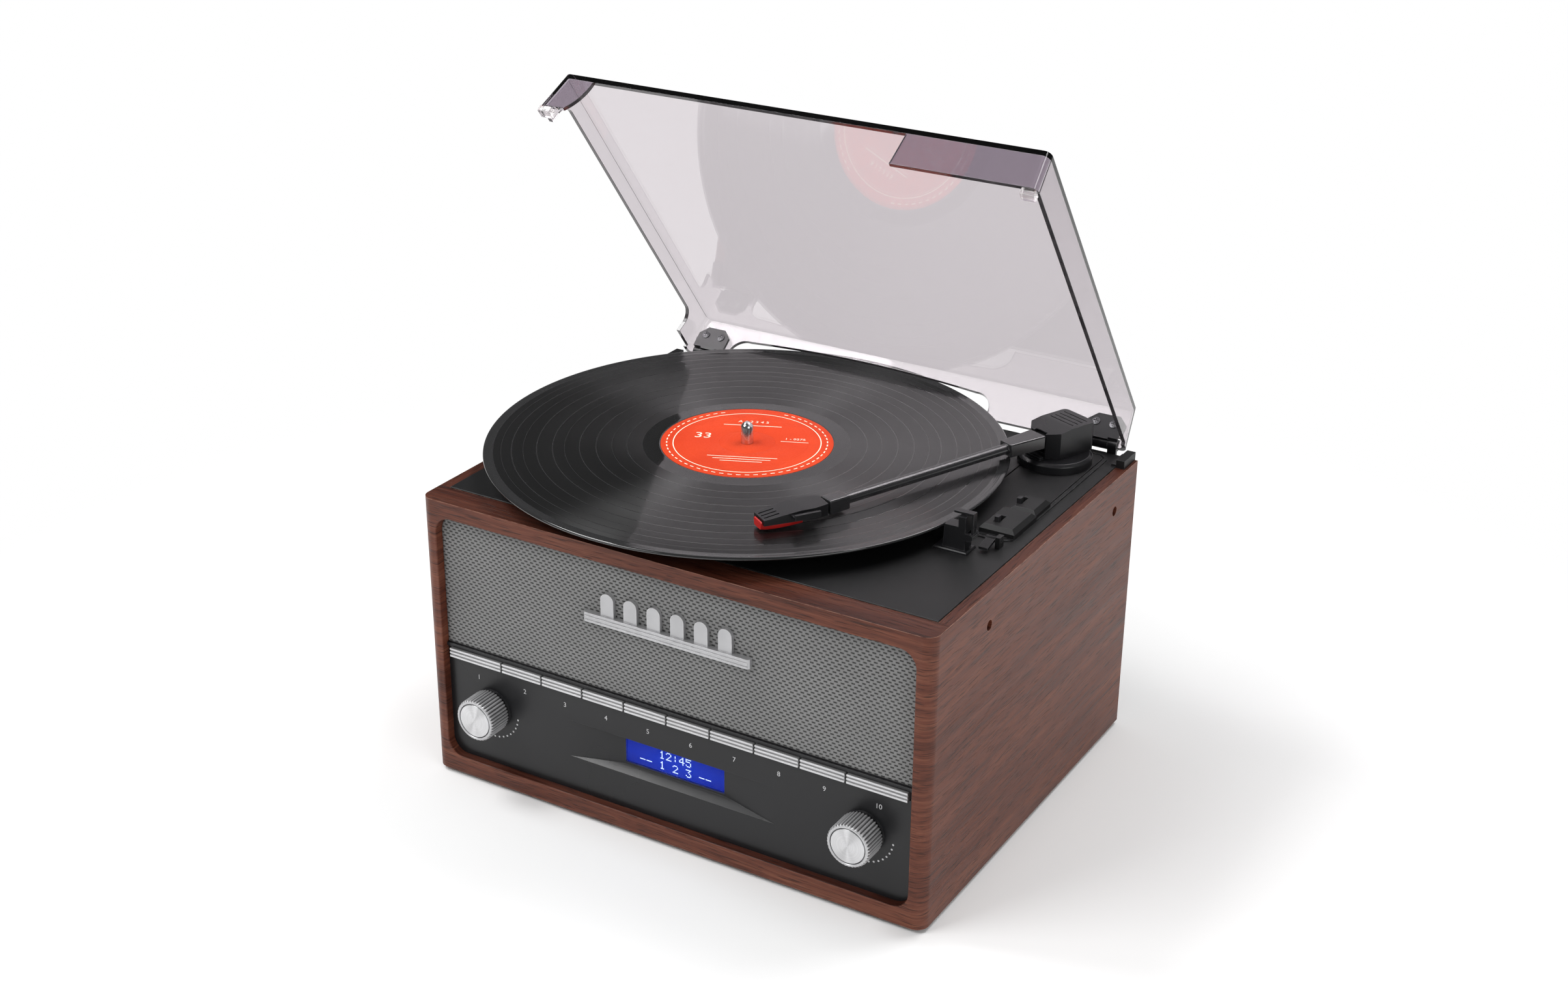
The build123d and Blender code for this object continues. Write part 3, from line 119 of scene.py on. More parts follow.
def turnedPiece(name, profile, centre, axis="z", steps=96, closed=False, sharpAngle=35):
    # A profile of radius and height turned about an axis: centre + radius (cos a, sin a) + height.
    # The texture map runs round the turn in one direction and along the profile in the other.
    profile = np.asarray(profile, float)
    angle = np.linspace(0, 2 * math.pi, steps, endpoint=False)[:, None]
    radius = profile[None, :, 0]
    height = np.broadcast_to(profile[None, :, 1], (steps, len(profile)))
    if axis == "z":
        points = np.stack([radius * np.cos(angle), radius * np.sin(angle), height], -1)
    elif axis == "y":
        points = np.stack([radius * np.cos(angle), height, radius * np.sin(angle)], -1)
    else:
        points = np.stack([height, radius * np.cos(angle), radius * np.sin(angle)], -1)
    points = points + np.asarray(centre)
    around = np.linspace(0, 1, steps + 1)
    ends = np.concatenate([profile, profile[:1]]) if closed else profile
    along = np.concatenate([[0], np.cumsum(np.linalg.norm(np.diff(ends, axis=0), axis=1))])
    uv = np.stack(np.meshgrid(around, along / mm, indexing="ij"), -1)
    return gridMesh(name, points, True, closed, uv, sharpAngle=sharpAngle)


def joinedPiece(name, objects):
    # Several finished meshes made one.
    shape = bmesh.new()
    for made in objects:
        shape.from_mesh(made.data)
    mesh = bpy.data.meshes.new(name)
    shape.to_mesh(mesh)
    shape.free()
    for made in objects:
        old = made.data
        bpy.data.objects.remove(made)
        bpy.data.meshes.remove(old)
    return addObject(name, mesh)


def softened(node, width, steps=2, angle=32, triangles=True):
    # A copy of a solid's mesh, merged and cleared of needless edges, with its corners rounded. A
    # large face with holes is cut into clean triangles, and a clear sheet keeps its whole faces.
    shape = bmesh.new()
    shape.from_mesh(frame["nodes"][node].data)
    bmesh.ops.remove_doubles(shape, verts=shape.verts, dist=2e-6)
    bmesh.ops.dissolve_limit(shape, angle_limit=math.radians(0.1), verts=shape.verts, edges=shape.edges)
    if triangles:
        bmesh.ops.triangulate(shape, faces=[face for face in shape.faces if len(face.verts) > 4])
    mesh = bpy.data.meshes.new(node + "Soft")
    shape.to_mesh(mesh)
    shape.free()
    mesh.shade_smooth()
    mesh.set_sharp_from_angle(angle=math.radians(angle))
    made = addObject(node + "Soft", mesh)
    roundEdges(made, width, steps, angle)
    return made


def roundEdges(made, width, steps=2, angle=32):
    bevel = made.modifiers.new("roundEdges", "BEVEL")
    bevel.width = width
    bevel.segments = steps
    bevel.limit_method = "ANGLE"
    bevel.angle_limit = math.radians(angle)
    bevel.miter_outer = "MITER_ARC"
    level = made.modifiers.new("levelFaces", "WEIGHTED_NORMAL")
    level.keep_sharp = True
    level.weight = 100


def stands(made, nodes, material):
    # A finished piece takes the place of its CAD nodes and rides on their body.
    nodes = [nodes] if isinstance(nodes, str) else nodes
    if material:
        made.data.materials.clear()
        made.data.materials.append(material)
    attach(made, bodyOf[nodes[0]])
    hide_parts(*nodes)
    return made


def added(made, body, material):
    # A finished piece that stands for no CAD node.
    if material:
        made.data.materials.clear()
        made.data.materials.append(material)
    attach(made, body)
    return made


def put(tree, kind, inputs=None, **settings):
    made = tree.nodes.new("ShaderNode" + kind)
    for name, value in settings.items():
        setattr(made, name, value)
    for key, value in (inputs or {}).items():
        socket = made.inputs[key]
        if isinstance(value, bpy.types.NodeSocket):
            tree.links.new(value, socket)
        else:
            socket.default_value = value
    return made


def sumUp(tree, operation, first, second=0.5, third=0.5, clamp=False):
    return put(tree, "Math", {0: first, 1: second, 2: third}, operation=operation, use_clamp=clamp).outputs[0]


def vectorUp(tree, operation, first, second=(0, 0, 0)):
    return put(tree, "VectorMath", {0: first, 1: second}, operation=operation).outputs[0]


def rampOf(tree, value, stops):
    ramp = put(tree, "ValToRGB", {0: value})
    line = ramp.color_ramp
    while len(line.elements) < len(stops):
        line.elements.new(0.5)
    for element, (place, colour) in zip(line.elements, stops):
        element.position = place
        element.color = (*colour, 1) if len(colour) == 3 else colour
    return ramp.outputs[0]


def between(tree, value, low, high, toLow=0.0, toHigh=1.0):
    return put(tree, "MapRange", {0: value, 1: low, 2: high, 3: toLow, 4: toHigh}).outputs[0]


def blended(tree, share, first, second, mode="MIX"):
    made = put(tree, "Mix", data_type="RGBA", blend_type=mode)
    for key, value in ((0, share), (6, first), (7, second)):
        if isinstance(value, bpy.types.NodeSocket):
            tree.links.new(value, made.inputs[key])
        else:
            made.inputs[key].default_value = value if key == 0 else (*value, 1)
    return made.outputs[2]


def blendedVector(tree, share, first, second):
    made = put(tree, "Mix", data_type="VECTOR")
    for key, value in ((0, share), (4, first), (5, second)):
        tree.links.new(value, made.inputs[key])
    return made.outputs[1]


def newGroup(name, inputs, outputs):
    group = bpy.data.node_groups.new(name, "ShaderNodeTree")
    for label, kind, value in inputs:
        socket = group.interface.new_socket(label, in_out="INPUT", socket_type="NodeSocket" + kind)
        if value is not None:
            socket.default_value = value
    for label, kind in outputs:
        group.interface.new_socket(label, in_out="OUTPUT", socket_type="NodeSocket" + kind)
    start = group.nodes.new("NodeGroupInput").outputs
    end = group.nodes.new("NodeGroupOutput").inputs
    return group, start, end


def groupEnd(group, end, **values):
    for name, value in values.items():
        group.links.new(value, end[name])


def useGroup(tree, group, **inputs):
    made = tree.nodes.new("ShaderNodeGroup")
    made.node_tree = group
    for name, value in inputs.items():
        if isinstance(value, bpy.types.NodeSocket):
            tree.links.new(value, made.inputs[name])
        else:
            made.inputs[name].default_value = value
    return made.outputs


def newMaterial(name):
    made = bpy.data.materials.new(name)
    made.use_nodes = True
    return made, made.node_tree, made.node_tree.nodes["Principled BSDF"]


def setShader(tree, shader, **values):
    for name, value in values.items():
        socket = shader.inputs[name.replace("_", " ")]
        if isinstance(value, bpy.types.NodeSocket):
            tree.links.new(value, socket)
        elif isinstance(value, tuple) and len(value) == 3 and socket.type == "RGBA":
            socket.default_value = (*value, 1)
        else:
            socket.default_value = value


def bumped(tree, height, distance, normal=None, strength=1.0):
    inputs = {"Height": height, "Distance": distance, "Strength": strength}
    if normal is not None:
        inputs["Normal"] = normal
    return put(tree, "Bump", inputs).outputs[0]


def objectPlace(tree):
    return put(tree, "TexCoord").outputs["Object"]


def makeEdgeRub():
    # Where a corner is near, the normal averaged over a small ball turns away from the face's own.
    # The mask marks the edges that the materials paint lighter: mostly a painted highlight, partly edge wear, broken
    # into patches.
    group, start, end = newGroup("edgeWearAndHighlight", [("Width", "Float", 0.0006), ("Gain", "Float", 3.0)], [("Mask", "Float")])
    soft = put(group, "Bevel", {"Radius": start["Width"]}, samples=4).outputs[0]
    own = put(group, "NewGeometry").outputs["Normal"]
    dot = put(group, "VectorMath", {0: soft, 1: own}, operation="DOT_PRODUCT").outputs["Value"]
    turned = sumUp(group, "SUBTRACT", 1.0, dot)
    patchy = put(group, "TexNoise", {"Vector": objectPlace(group), "Scale": 260.0, "Detail": 3.0}).outputs[0]
    mask = sumUp(group, "MULTIPLY", sumUp(group, "MULTIPLY", turned, start["Gain"]), between(group, patchy, 0.35, 0.62))
    groupEnd(group, end, Mask=sumUp(group, "MINIMUM", mask, 1.0))
    return group


def makeMouldedSkin():
    # The fine sparked texture of moulded plastic, with a slow change of tone over the piece.
    group, start, end = newGroup("mouldedSkin", [("Scale", "Float", 1600.0)], [("Height", "Float"), ("Tone", "Float")])
    place = objectPlace(group)
    pits = put(group, "TexVoronoi", {"Vector": place, "Scale": start["Scale"]}, feature="SMOOTH_F1").outputs["Distance"]
    fine = put(group, "TexNoise", {"Vector": place, "Scale": start["Scale"], "Detail": 2.0}).outputs[0]
    slow = put(group, "TexNoise", {"Vector": place, "Scale": 14.0, "Detail": 3.0}).outputs[0]
    groupEnd(group, end, Height=sumUp(group, "ADD", pits, fine), Tone=slow)
    return group


def makeDust():
    # Sparse specks that settle on faces that look up.
    group, start, end = newGroup("dust", [("Amount", "Float", 0.4)], [("Mask", "Float")])
    place = objectPlace(group)
    speck = put(group, "TexVoronoi", {"Vector": place, "Scale": 520.0}).outputs["Distance"]
    dots = between(group, speck, 0.10, 0.03)
    where = put(group, "TexNoise", {"Vector": place, "Scale": 60.0, "Detail": 4.0}).outputs[0]
    facing = put(group, "SeparateXYZ", {0: put(group, "NewGeometry").outputs["Normal"]}).outputs[2]
    mask = sumUp(group, "MULTIPLY", dots, between(group, where, 0.52, 0.70))
    mask = sumUp(group, "MULTIPLY", mask, between(group, facing, 0.2, 0.9))
    groupEnd(group, end, Mask=sumUp(group, "MULTIPLY", mask, start["Amount"]))
    return group


def makeTurnedRings():
    # Rings about a centre, worked out from the distance to it, with a slight change round the turn.
    group, start, end = newGroup(
        "turnedRings",
        [("Vector", "Vector", None), ("Rings", "Float", 9000.0)],
        [("Height", "Float"), ("Tone", "Float")],
    )
    radius = put(group, "VectorMath", {0: start["Vector"]}, operation="LENGTH").outputs["Value"]
    ring = put(group, "CombineXYZ", {0: sumUp(group, "MULTIPLY", radius, start["Rings"])}).outputs[0]
    fine = put(group, "TexNoise", {"Vector": ring, "Scale": 1.0, "Detail": 3.0}).outputs[0]
    slow = put(group, "TexNoise", {"Vector": ring, "Scale": 0.12, "Detail": 2.0}).outputs[0]
    groupEnd(group, end, Height=fine, Tone=slow)
    return group


edgeWearAndHighlight = makeEdgeRub()
mouldedSkin = makeMouldedSkin()
dust = makeDust()
turnedRings = makeTurnedRings()


veneer = {
    "dark": (0.040, 0.0105, 0.0055),
    "middle": (0.120, 0.034, 0.0185),
    "light": (0.205, 0.074, 0.042),
    "pore": (0.022, 0.007, 0.004),
    # edge: the light colour that the wood's edges are painted, a painted highlight.
    "edge": (0.50, 0.27, 0.19),
    # The faces that look up are multiplied by this, a painted shade.
    "paintedTopShade": (0.52, 0.46, 0.46),
    "topFront": boxOf("deck_plate")[0][1],
}


def makeVeneerGrain():
    # The first coordinate runs along the grain. Noise that is stretched along it gives bands,
    # streaks and pores, and bent rings give the broad figure.
    group, start, end = newGroup(
        "veneerGrain",
        [("Vector", "Vector", None)],
        [("Band", "Float"), ("Streak", "Float"), ("Pore", "Float"), ("Height", "Float")],
    )
    place = start["Vector"]
    bend = put(group, "TexNoise", {"Vector": vectorUp(group, "MULTIPLY", place, (5, 14, 14)), "Scale": 1.0, "Detail": 3.0})
    bent = put(group, "VectorMath", {0: bend.outputs[1], 1: (0.0, 0.012, 0.012), 2: place}, operation="MULTIPLY_ADD").outputs[0]
    band = put(group, "TexNoise", {"Vector": vectorUp(group, "MULTIPLY", bent, (4, 75, 75)), "Scale": 1.0, "Detail": 5.0,
                                   "Roughness": 0.6}).outputs[0]
    streak = put(group, "TexNoise", {"Vector": vectorUp(group, "MULTIPLY", bent, (16, 520, 520)), "Scale": 1.0,
                                     "Detail": 4.0, "Roughness": 0.7}).outputs[0]
    pore = put(group, "TexNoise", {"Vector": vectorUp(group, "MULTIPLY", bent, (70, 1500, 1500)), "Scale": 1.0,
                                   "Detail": 1.0}).outputs[0]
    mask = between(group, pore, 0.57, 0.68)
    height = sumUp(group, "SUBTRACT", sumUp(group, "MULTIPLY", streak, 0.35), sumUp(group, "MULTIPLY", mask, 0.6))
    groupEnd(group, end, Band=band, Streak=streak, Pore=mask, Height=height)
    return group


def makeWalnut():
    material, tree, shader = newMaterial("walnutVeneer")
    place = objectPlace(tree)
    axes = put(tree, "SeparateXYZ", {0: place}).outputs
    normal = put(tree, "SeparateXYZ", {0: put(tree, "TexCoord").outputs["Normal"]}).outputs
    wrap = put(tree, "CombineXYZ", {0: sumUp(tree, "ADD", axes[0], axes[1]), 1: axes[2]}).outputs[0]
    topSide = put(tree, "CombineXYZ", {0: axes[1], 1: axes[0], 2: 0.31}).outputs[0]
    topFront = put(tree, "CombineXYZ", {0: axes[0], 1: axes[1], 2: 0.17}).outputs[0]
    isFront = sumUp(tree, "LESS_THAN", axes[1], float(veneer["topFront"]))
    isTop = sumUp(tree, "GREATER_THAN", sumUp(tree, "ABSOLUTE", normal[2]), 0.7)
    top = blendedVector(tree, isFront, topSide, topFront)
    grainPlace = blendedVector(tree, isTop, wrap, top)
    grain = useGroup(tree, veneerGrain, Vector=grainPlace)
    tone = sumUp(tree, "ADD", sumUp(tree, "MULTIPLY", grain["Band"], 0.45), sumUp(tree, "MULTIPLY", grain["Streak"], 0.55))
    colour = rampOf(tree, tone, [(0.34, veneer["dark"]), (0.50, veneer["middle"]), (0.67, veneer["light"])])
    colour = blended(tree, sumUp(tree, "MULTIPLY", grain["Pore"], 0.7), colour, veneer["pore"])
    # Faces that look up are darkened, a painted shade.
    colour = blended(tree, isTop, colour, veneer["paintedTopShade"], "MULTIPLY")
    # The edges are painted light pinkish brown, a painted highlight.
    wearAndHighlight = useGroup(tree, edgeWearAndHighlight, Width=0.0007, Gain=3.4)["Mask"]
    colour = blended(tree, sumUp(tree, "MULTIPLY", wearAndHighlight, 0.75), colour, veneer["edge"])
    rough = between(tree, grain["Streak"], 0.3, 0.7, 0.36, 0.52)
    setShader(tree, shader, Base_Color=colour, Roughness=rough, Normal=bumped(tree, grain["Height"], 0.00012),
              Specular_IOR_Level=0.25, Coat_Weight=0.03, Coat_Roughness=0.3)
    return material


plastics = {
    "deck": {"colour": (0.0050, 0.0050, 0.0054), "rough": (0.46, 0.56), "skin": 2200.0, "bump": 0.00001, "dust": 0.05},
    "fascia": {"colour": (0.009, 0.009, 0.010), "rough": (0.26, 0.36), "skin": 2400.0, "bump": 0.000006, "dust": 0.05},
    "arm": {"colour": (0.008, 0.008, 0.009), "rough": (0.26, 0.34), "skin": 2600.0, "bump": 0.000003, "dust": 0.04},
    "tube": {"colour": (0.014, 0.014, 0.015), "rough": (0.20, 0.26), "skin": 2600.0, "bump": 0.000001, "dust": 0.02,
             "shine": 1.0},
    "gloss": {"colour": (0.010, 0.010, 0.011), "rough": (0.12, 0.22), "skin": 1500.0, "bump": 0.000004, "dust": 0.05},
    "switches": {"colour": (0.009, 0.009, 0.010), "rough": (0.34, 0.46), "skin": 1700.0, "bump": 0.00001, "dust": 0.06},
    "hinges": {"colour": (0.008, 0.008, 0.009), "rough": (0.26, 0.38), "skin": 1900.0, "bump": 0.000008, "dust": 0.05},
    "backParts": {"colour": (0.020, 0.020, 0.021), "rough": (0.40, 0.55), "skin": 1500.0, "bump": 0.00003, "dust": 0.05},
}


def makePlastic(name):
    look = plastics[name]
    material, tree, shader = newMaterial(name + "Plastic")
    skin = useGroup(tree, mouldedSkin, Scale=look["skin"])
    wearAndHighlight = useGroup(tree, edgeWearAndHighlight, Width=0.0005, Gain=3.2)["Mask"]
    specks = useGroup(tree, dust, Amount=look["dust"])["Mask"]
    base = look["colour"]
    lighter = tuple(4.0 * part for part in base)
    colour = blended(tree, between(tree, skin["Tone"], 0.3, 0.7, 0.0, 0.12), base, lighter)
    # Edges are painted lighter grey: mostly a painted highlight, partly edge wear.
    colour = blended(tree, sumUp(tree, "MULTIPLY", wearAndHighlight, 0.6), colour, (0.15, 0.15, 0.155))
    colour = blended(tree, specks, colour, (0.45, 0.44, 0.42))
    rough = between(tree, skin["Tone"], 0.3, 0.7, *look["rough"])
    setShader(tree, shader, Base_Color=colour, Roughness=rough, Specular_IOR_Level=look.get("shine", 0.4),
              Normal=bumped(tree, skin["Height"], look["bump"]))
    return material


metals = {
    "silver": {"colour": (0.66, 0.66, 0.67), "rough": (0.24, 0.34), "scratch": (30, 900, 900)},
    # edge: how strongly a metal's edges are painted near white, a painted highlight.
    "badgeSilver": {"colour": (0.46, 0.46, 0.47), "rough": (0.28, 0.36), "scratch": (60, 300, 300), "metal": 0.55,
                    "edge": 0.9},
    "chrome": {"colour": (0.72, 0.72, 0.73), "rough": (0.12, 0.20), "scratch": (60, 600, 600)},
    "steel": {"colour": (0.42, 0.42, 0.43), "rough": (0.28, 0.45), "scratch": (200, 200, 200)},
    "darkScrew": {"colour": (0.10, 0.10, 0.105), "rough": (0.30, 0.45), "scratch": (200, 200, 200)},
    "platterAlloy": {"colour": (0.30, 0.30, 0.31), "rough": (0.30, 0.42), "scratch": (90, 90, 2500)},
    "copper": {"colour": (0.62, 0.28, 0.14), "rough": (0.24, 0.40), "scratch": (300, 300, 300)},
    "nickel": {"colour": (0.62, 0.58, 0.50), "rough": (0.18, 0.28), "scratch": (200, 900, 200)},
}


def makeMetal(name):
    look = metals[name]
    material, tree, shader = newMaterial(name + "Metal")
    place = objectPlace(tree)
    lines = put(tree, "TexNoise", {"Vector": vectorUp(tree, "MULTIPLY", place, look["scratch"]), "Scale": 4.0,
                                   "Detail": 4.0}).outputs[0]
    smear = put(tree, "TexNoise", {"Vector": place, "Scale": 45.0, "Detail": 3.0}).outputs[0]
    base = look["colour"]
    darker = tuple(0.72 * part for part in base)
    colour = blended(tree, between(tree, smear, 0.35, 0.7, 0.0, 0.55), base, darker)
    wearAndHighlight = useGroup(tree, edgeWearAndHighlight, Width=0.0006, Gain=4.0)["Mask"]
    # Edges are painted near white, a painted highlight; edge sets how strongly.
    colour = blended(tree, sumUp(tree, "MULTIPLY", wearAndHighlight, look.get("edge", 0.3)), colour, (0.85, 0.85, 0.86))
    rough = sumUp(tree, "ADD", between(tree, lines, 0.3, 0.7, *look["rough"]), between(tree, smear, 0.4, 0.7, 0.0, 0.05))
    setShader(tree, shader, Base_Color=colour, Metallic=look.get("metal", 1.0), Roughness=rough,
              Normal=bumped(tree, lines, 0.000002))
    return material


def makeButtonMetal(front):
    # The floor of the grooves, further back than the ridges, is painted darker, a painted shade: y - front over a
    # limit.
    material, tree, shader = newMaterial("buttonMetal")
    axes = put(tree, "SeparateXYZ", {0: objectPlace(tree)}).outputs
    paintedGrooveShade = between(tree, sumUp(tree, "SUBTRACT", axes[1], front), 0.00025, 0.00055)
    brushed = put(tree, "TexNoise", {"Vector": vectorUp(tree, "MULTIPLY", objectPlace(tree), (60, 2500, 2500)),
                                     "Scale": 1.0, "Detail": 3.0}).outputs[0]
    colour = blended(tree, between(tree, brushed, 0.3, 0.7), (0.66, 0.66, 0.67), (0.58, 0.58, 0.59))
    colour = blended(tree, sumUp(tree, "MULTIPLY", paintedGrooveShade, 0.7), colour, (0.14, 0.14, 0.14))
    setShader(tree, shader, Base_Color=colour, Metallic=0.55, Roughness=between(tree, brushed, 0.3, 0.7, 0.28, 0.36),
              Normal=bumped(tree, brushed, 0.000001))
    return material


def makeKnobMetal(offset, height, radius):
    # The flutes' floors are painted darker, a painted shade: the distance from the knob's axis, at |x| = offset, is
    # smaller.
    material, tree, shader = newMaterial("knobMetal")
    axes = put(tree, "SeparateXYZ", {0: objectPlace(tree)}).outputs
    aside = sumUp(tree, "SUBTRACT", sumUp(tree, "ABSOLUTE", axes[0]), offset)
    away = put(tree, "CombineXYZ", {0: aside, 2: sumUp(tree, "SUBTRACT", axes[2], height)}).outputs[0]
    reach = put(tree, "VectorMath", {0: away}, operation="LENGTH").outputs["Value"]
    rings = useGroup(tree, turnedRings, Vector=away, Rings=9000.0)
    paintedFluteShade = sumUp(tree, "MULTIPLY", between(tree, reach, radius - 0.00030, radius - 0.00070),
                    sumUp(tree, "GREATER_THAN", axes[1], knobShape["face"]))
    colour = blended(tree, between(tree, rings["Tone"], 0.3, 0.7), (0.56, 0.56, 0.57), (0.48, 0.48, 0.49))
    colour = blended(tree, sumUp(tree, "MULTIPLY", paintedFluteShade, 0.8), colour, (0.06, 0.06, 0.06))
    setShader(tree, shader, Base_Color=colour, Metallic=0.35, Roughness=between(tree, rings["Height"], 0.3, 0.7, 0.26, 0.36))
    return material


knobLow, knobHigh = boxOf("tuning_knob")
knobShape = {"flutes": 40, "flute": 0.00085, "perFlute": 8, "recess": 0.0106, "recessDepth": 0.0015,
             "face": float(knobLow[1]) + 0.0010}


def makeSpunFace(centre):
    # Fine rings round the centre stretch the highlight into a bow tie.
    material, tree, shader = newMaterial("spunFace" + ("Left" if centre[0] < 0 else "Right"))
    away = vectorUp(tree, "SUBTRACT", objectPlace(tree), tuple(centre))
    rings = useGroup(tree, turnedRings, Vector=vectorUp(tree, "MULTIPLY", away, (1, 0, 1)), Rings=14000.0)
    colour = blended(tree, between(tree, rings["Tone"], 0.3, 0.7), (0.78, 0.78, 0.79), (0.66, 0.66, 0.67))
    tangent = put(tree, "Tangent", direction_type="UV_MAP", uv_map="surface").outputs[0]
    setShader(tree, shader, Base_Color=colour, Metallic=0.95, Roughness=between(tree, rings["Height"], 0.3, 0.7, 0.32, 0.40),
              Anisotropic=0.95, Anisotropic_Rotation=0.25, Tangent=tangent,
              Normal=bumped(tree, rings["Height"], 0.000001))
    return material


def makeVinyl(centre):
    # Grooved bands between smooth gaps, whose radii are from the record's centre. A gap is a thin
    # line painted lighter, a painted sheen: |r - gap| under half its width. The rim band beyond the grooves gets the
    # same painted sheen.
    material, tree, shader = newMaterial("vinyl")
    away = vectorUp(tree, "SUBTRACT", objectPlace(tree), tuple(centre))
    flat = vectorUp(tree, "MULTIPLY", away, (1, 1, 0))
    radius = put(tree, "VectorMath", {0: flat}, operation="LENGTH").outputs["Value"]
    rings = useGroup(tree, turnedRings, Vector=flat, Rings=vinyl["rings"])
    line = sumUp(tree, "GREATER_THAN", radius, vinyl["grooveOuter"])
    for gap, width in vinyl["gaps"]:
        line = sumUp(tree, "MAXIMUM", line, sumUp(tree, "COMPARE", radius, gap, width / 2))
    smooth = sumUp(tree, "MAXIMUM", line, sumUp(tree, "LESS_THAN", radius, vinyl["grooveInner"]))
    grooved = sumUp(tree, "SUBTRACT", 1.0, smooth)
    wander = put(tree, "TexNoise", {"Vector": flat, "Scale": 16.0, "Detail": 2.0}).outputs[0]
    colour = blended(tree, between(tree, rings["Tone"], 0.35, 0.65), vinyl["dark"], vinyl["light"])
    # The gaps and the rim band are painted lighter, a painted sheen.
    colour = blended(tree, sumUp(tree, "MULTIPLY", line, 0.5), colour, vinyl["line"])
    specks = useGroup(tree, dust, Amount=0.08)["Mask"]
    colour = blended(tree, specks, colour, (0.4, 0.4, 0.4))
    rough = sumUp(tree, "ADD", sumUp(tree, "MULTIPLY", grooved, between(tree, rings["Tone"], 0.3, 0.7, *vinyl["rough"])),
                  between(tree, wander, 0.3, 0.7, 0.03, 0.05))
    tangent = put(tree, "Tangent", direction_type="UV_MAP", uv_map="surface").outputs[0]
    height = sumUp(tree, "MULTIPLY", rings["Height"], grooved)
    setShader(tree, shader, Base_Color=colour, Roughness=rough, Anisotropic=vinyl["anisotropy"], Tangent=tangent,
              Anisotropic_Rotation=0.25, Normal=bumped(tree, height, vinyl["relief"]), Specular_IOR_Level=vinyl["shine"],
              Coat_Weight=vinyl["coat"], Coat_Roughness=0.05)
    return material


vinyl = {
    "grooveInner": 0.0598,
    "grooveOuter": 0.1449,
    "gaps": ((0.0690, 0.0006), (0.0775, 0.0003), (0.0866, 0.0006), (0.0960, 0.0006), (0.1045, 0.0003), (0.1113, 0.0006),
             (0.1203, 0.0006), (0.1280, 0.0003), (0.1346, 0.0006), (0.1405, 0.0003)),
    "rings": 420.0,
    "rough": (0.25, 0.29),
    "anisotropy": 1.0,
    "relief": 0.000001,
    "shine": 0.5,
    "coat": 0.35,
    "dark": (0.0022, 0.0022, 0.0024),
    "light": (0.0045, 0.0045, 0.0048),
    "line": (0.035, 0.035, 0.036),
}


def makeLabelPaper(centre):
    # Orange paper with a cream ring near its rim, faint fibres and two pressed rings.
    material, tree, shader = newMaterial("labelPaper")
    away = vectorUp(tree, "SUBTRACT", objectPlace(tree), tuple(centre))
    flat = vectorUp(tree, "MULTIPLY", away, (1, 1, 0))
    radius = put(tree, "VectorMath", {0: flat}, operation="LENGTH").outputs["Value"]
    fibre = put(tree, "TexNoise", {"Vector": flat, "Scale": 900.0, "Detail": 3.0}).outputs[0]
    cloud = put(tree, "TexNoise", {"Vector": flat, "Scale": 35.0, "Detail": 3.0}).outputs[0]
    colour = blended(tree, between(tree, cloud, 0.3, 0.7), (0.55, 0.036, 0.004), (0.63, 0.050, 0.007))
    colour = blended(tree, between(tree, fibre, 0.55, 0.75, 0.0, 0.25), colour, (0.45, 0.05, 0.02))
    ring = sumUp(tree, "COMPARE", radius, 0.0425, 0.00028)
    colour = blended(tree, ring, colour, (0.85, 0.78, 0.62))
    pressed = sumUp(tree, "ADD", between(tree, sumUp(tree, "ABSOLUTE", sumUp(tree, "SUBTRACT", radius, 0.0355)), 0.0, 0.0006, 1.0, 0.0),
                    between(tree, sumUp(tree, "ABSOLUTE", sumUp(tree, "SUBTRACT", radius, 0.0160)), 0.0, 0.0005, 1.0, 0.0))
    height = sumUp(tree, "SUBTRACT", sumUp(tree, "MULTIPLY", fibre, 0.15), pressed)
    setShader(tree, shader, Base_Color=colour, Roughness=between(tree, fibre, 0.3, 0.7, 0.56, 0.68), Specular_IOR_Level=0.2,
              Normal=bumped(tree, height, 0.00004))
    return material


weave = {
    "dash": (3.9, 1.75),
    "light": (0.42, 0.42, 0.417),
    "middle": (0.13, 0.13, 0.129),
    "dark": (0.008, 0.008, 0.008),
}


def makeWeaveCells():
    # The map is in millimetres. Each cell holds one dark gap between threads, and every row of
    # cells is shifted, so that the gaps make slanting rows.
    group, start, end = newGroup(
        "weaveCells", [("Vector", "Vector", None)], [("Gap", "Float"), ("Thread", "Float"), ("Height", "Float")],
    )
    axes = put(group, "SeparateXYZ", {0: start["Vector"]}).outputs
    width, height = weave["dash"]
    row = sumUp(group, "FLOOR", sumUp(group, "DIVIDE", axes[1], height))
    shift = sumUp(group, "MULTIPLY", row, 0.42)
    across = sumUp(group, "FRACT", sumUp(group, "ADD", sumUp(group, "DIVIDE", axes[0], width), shift))
    up = sumUp(group, "FRACT", sumUp(group, "DIVIDE", axes[1], height))
    jitter = put(group, "TexNoise", {"Vector": start["Vector"], "Scale": 1.7, "Detail": 2.0}).outputs[0]
    wide = sumUp(group, "ABSOLUTE", sumUp(group, "SUBTRACT", across, 0.5))
    tall = sumUp(group, "ABSOLUTE", sumUp(group, "SUBTRACT", up, 0.5))
    fleck = sumUp(group, "MULTIPLY", between(group, wide, 0.32, 0.24), between(group, tall, 0.32, 0.22))
    fleck = sumUp(group, "MULTIPLY", fleck, between(group, jitter, 0.22, 0.42))
    threads = sumUp(group, "SINE", sumUp(group, "MULTIPLY", axes[0], 2 * math.pi / 0.65))
    picks = sumUp(group, "SINE", sumUp(group, "MULTIPLY", axes[1], 2 * math.pi / 0.58))
    knots = between(group, sumUp(group, "MULTIPLY", threads, picks), -1.0, 1.0)
    groupEnd(group, end, Gap=fleck, Thread=knots,
             Height=sumUp(group, "SUBTRACT", knots, sumUp(group, "MULTIPLY", fleck, 1.4)))
    return group


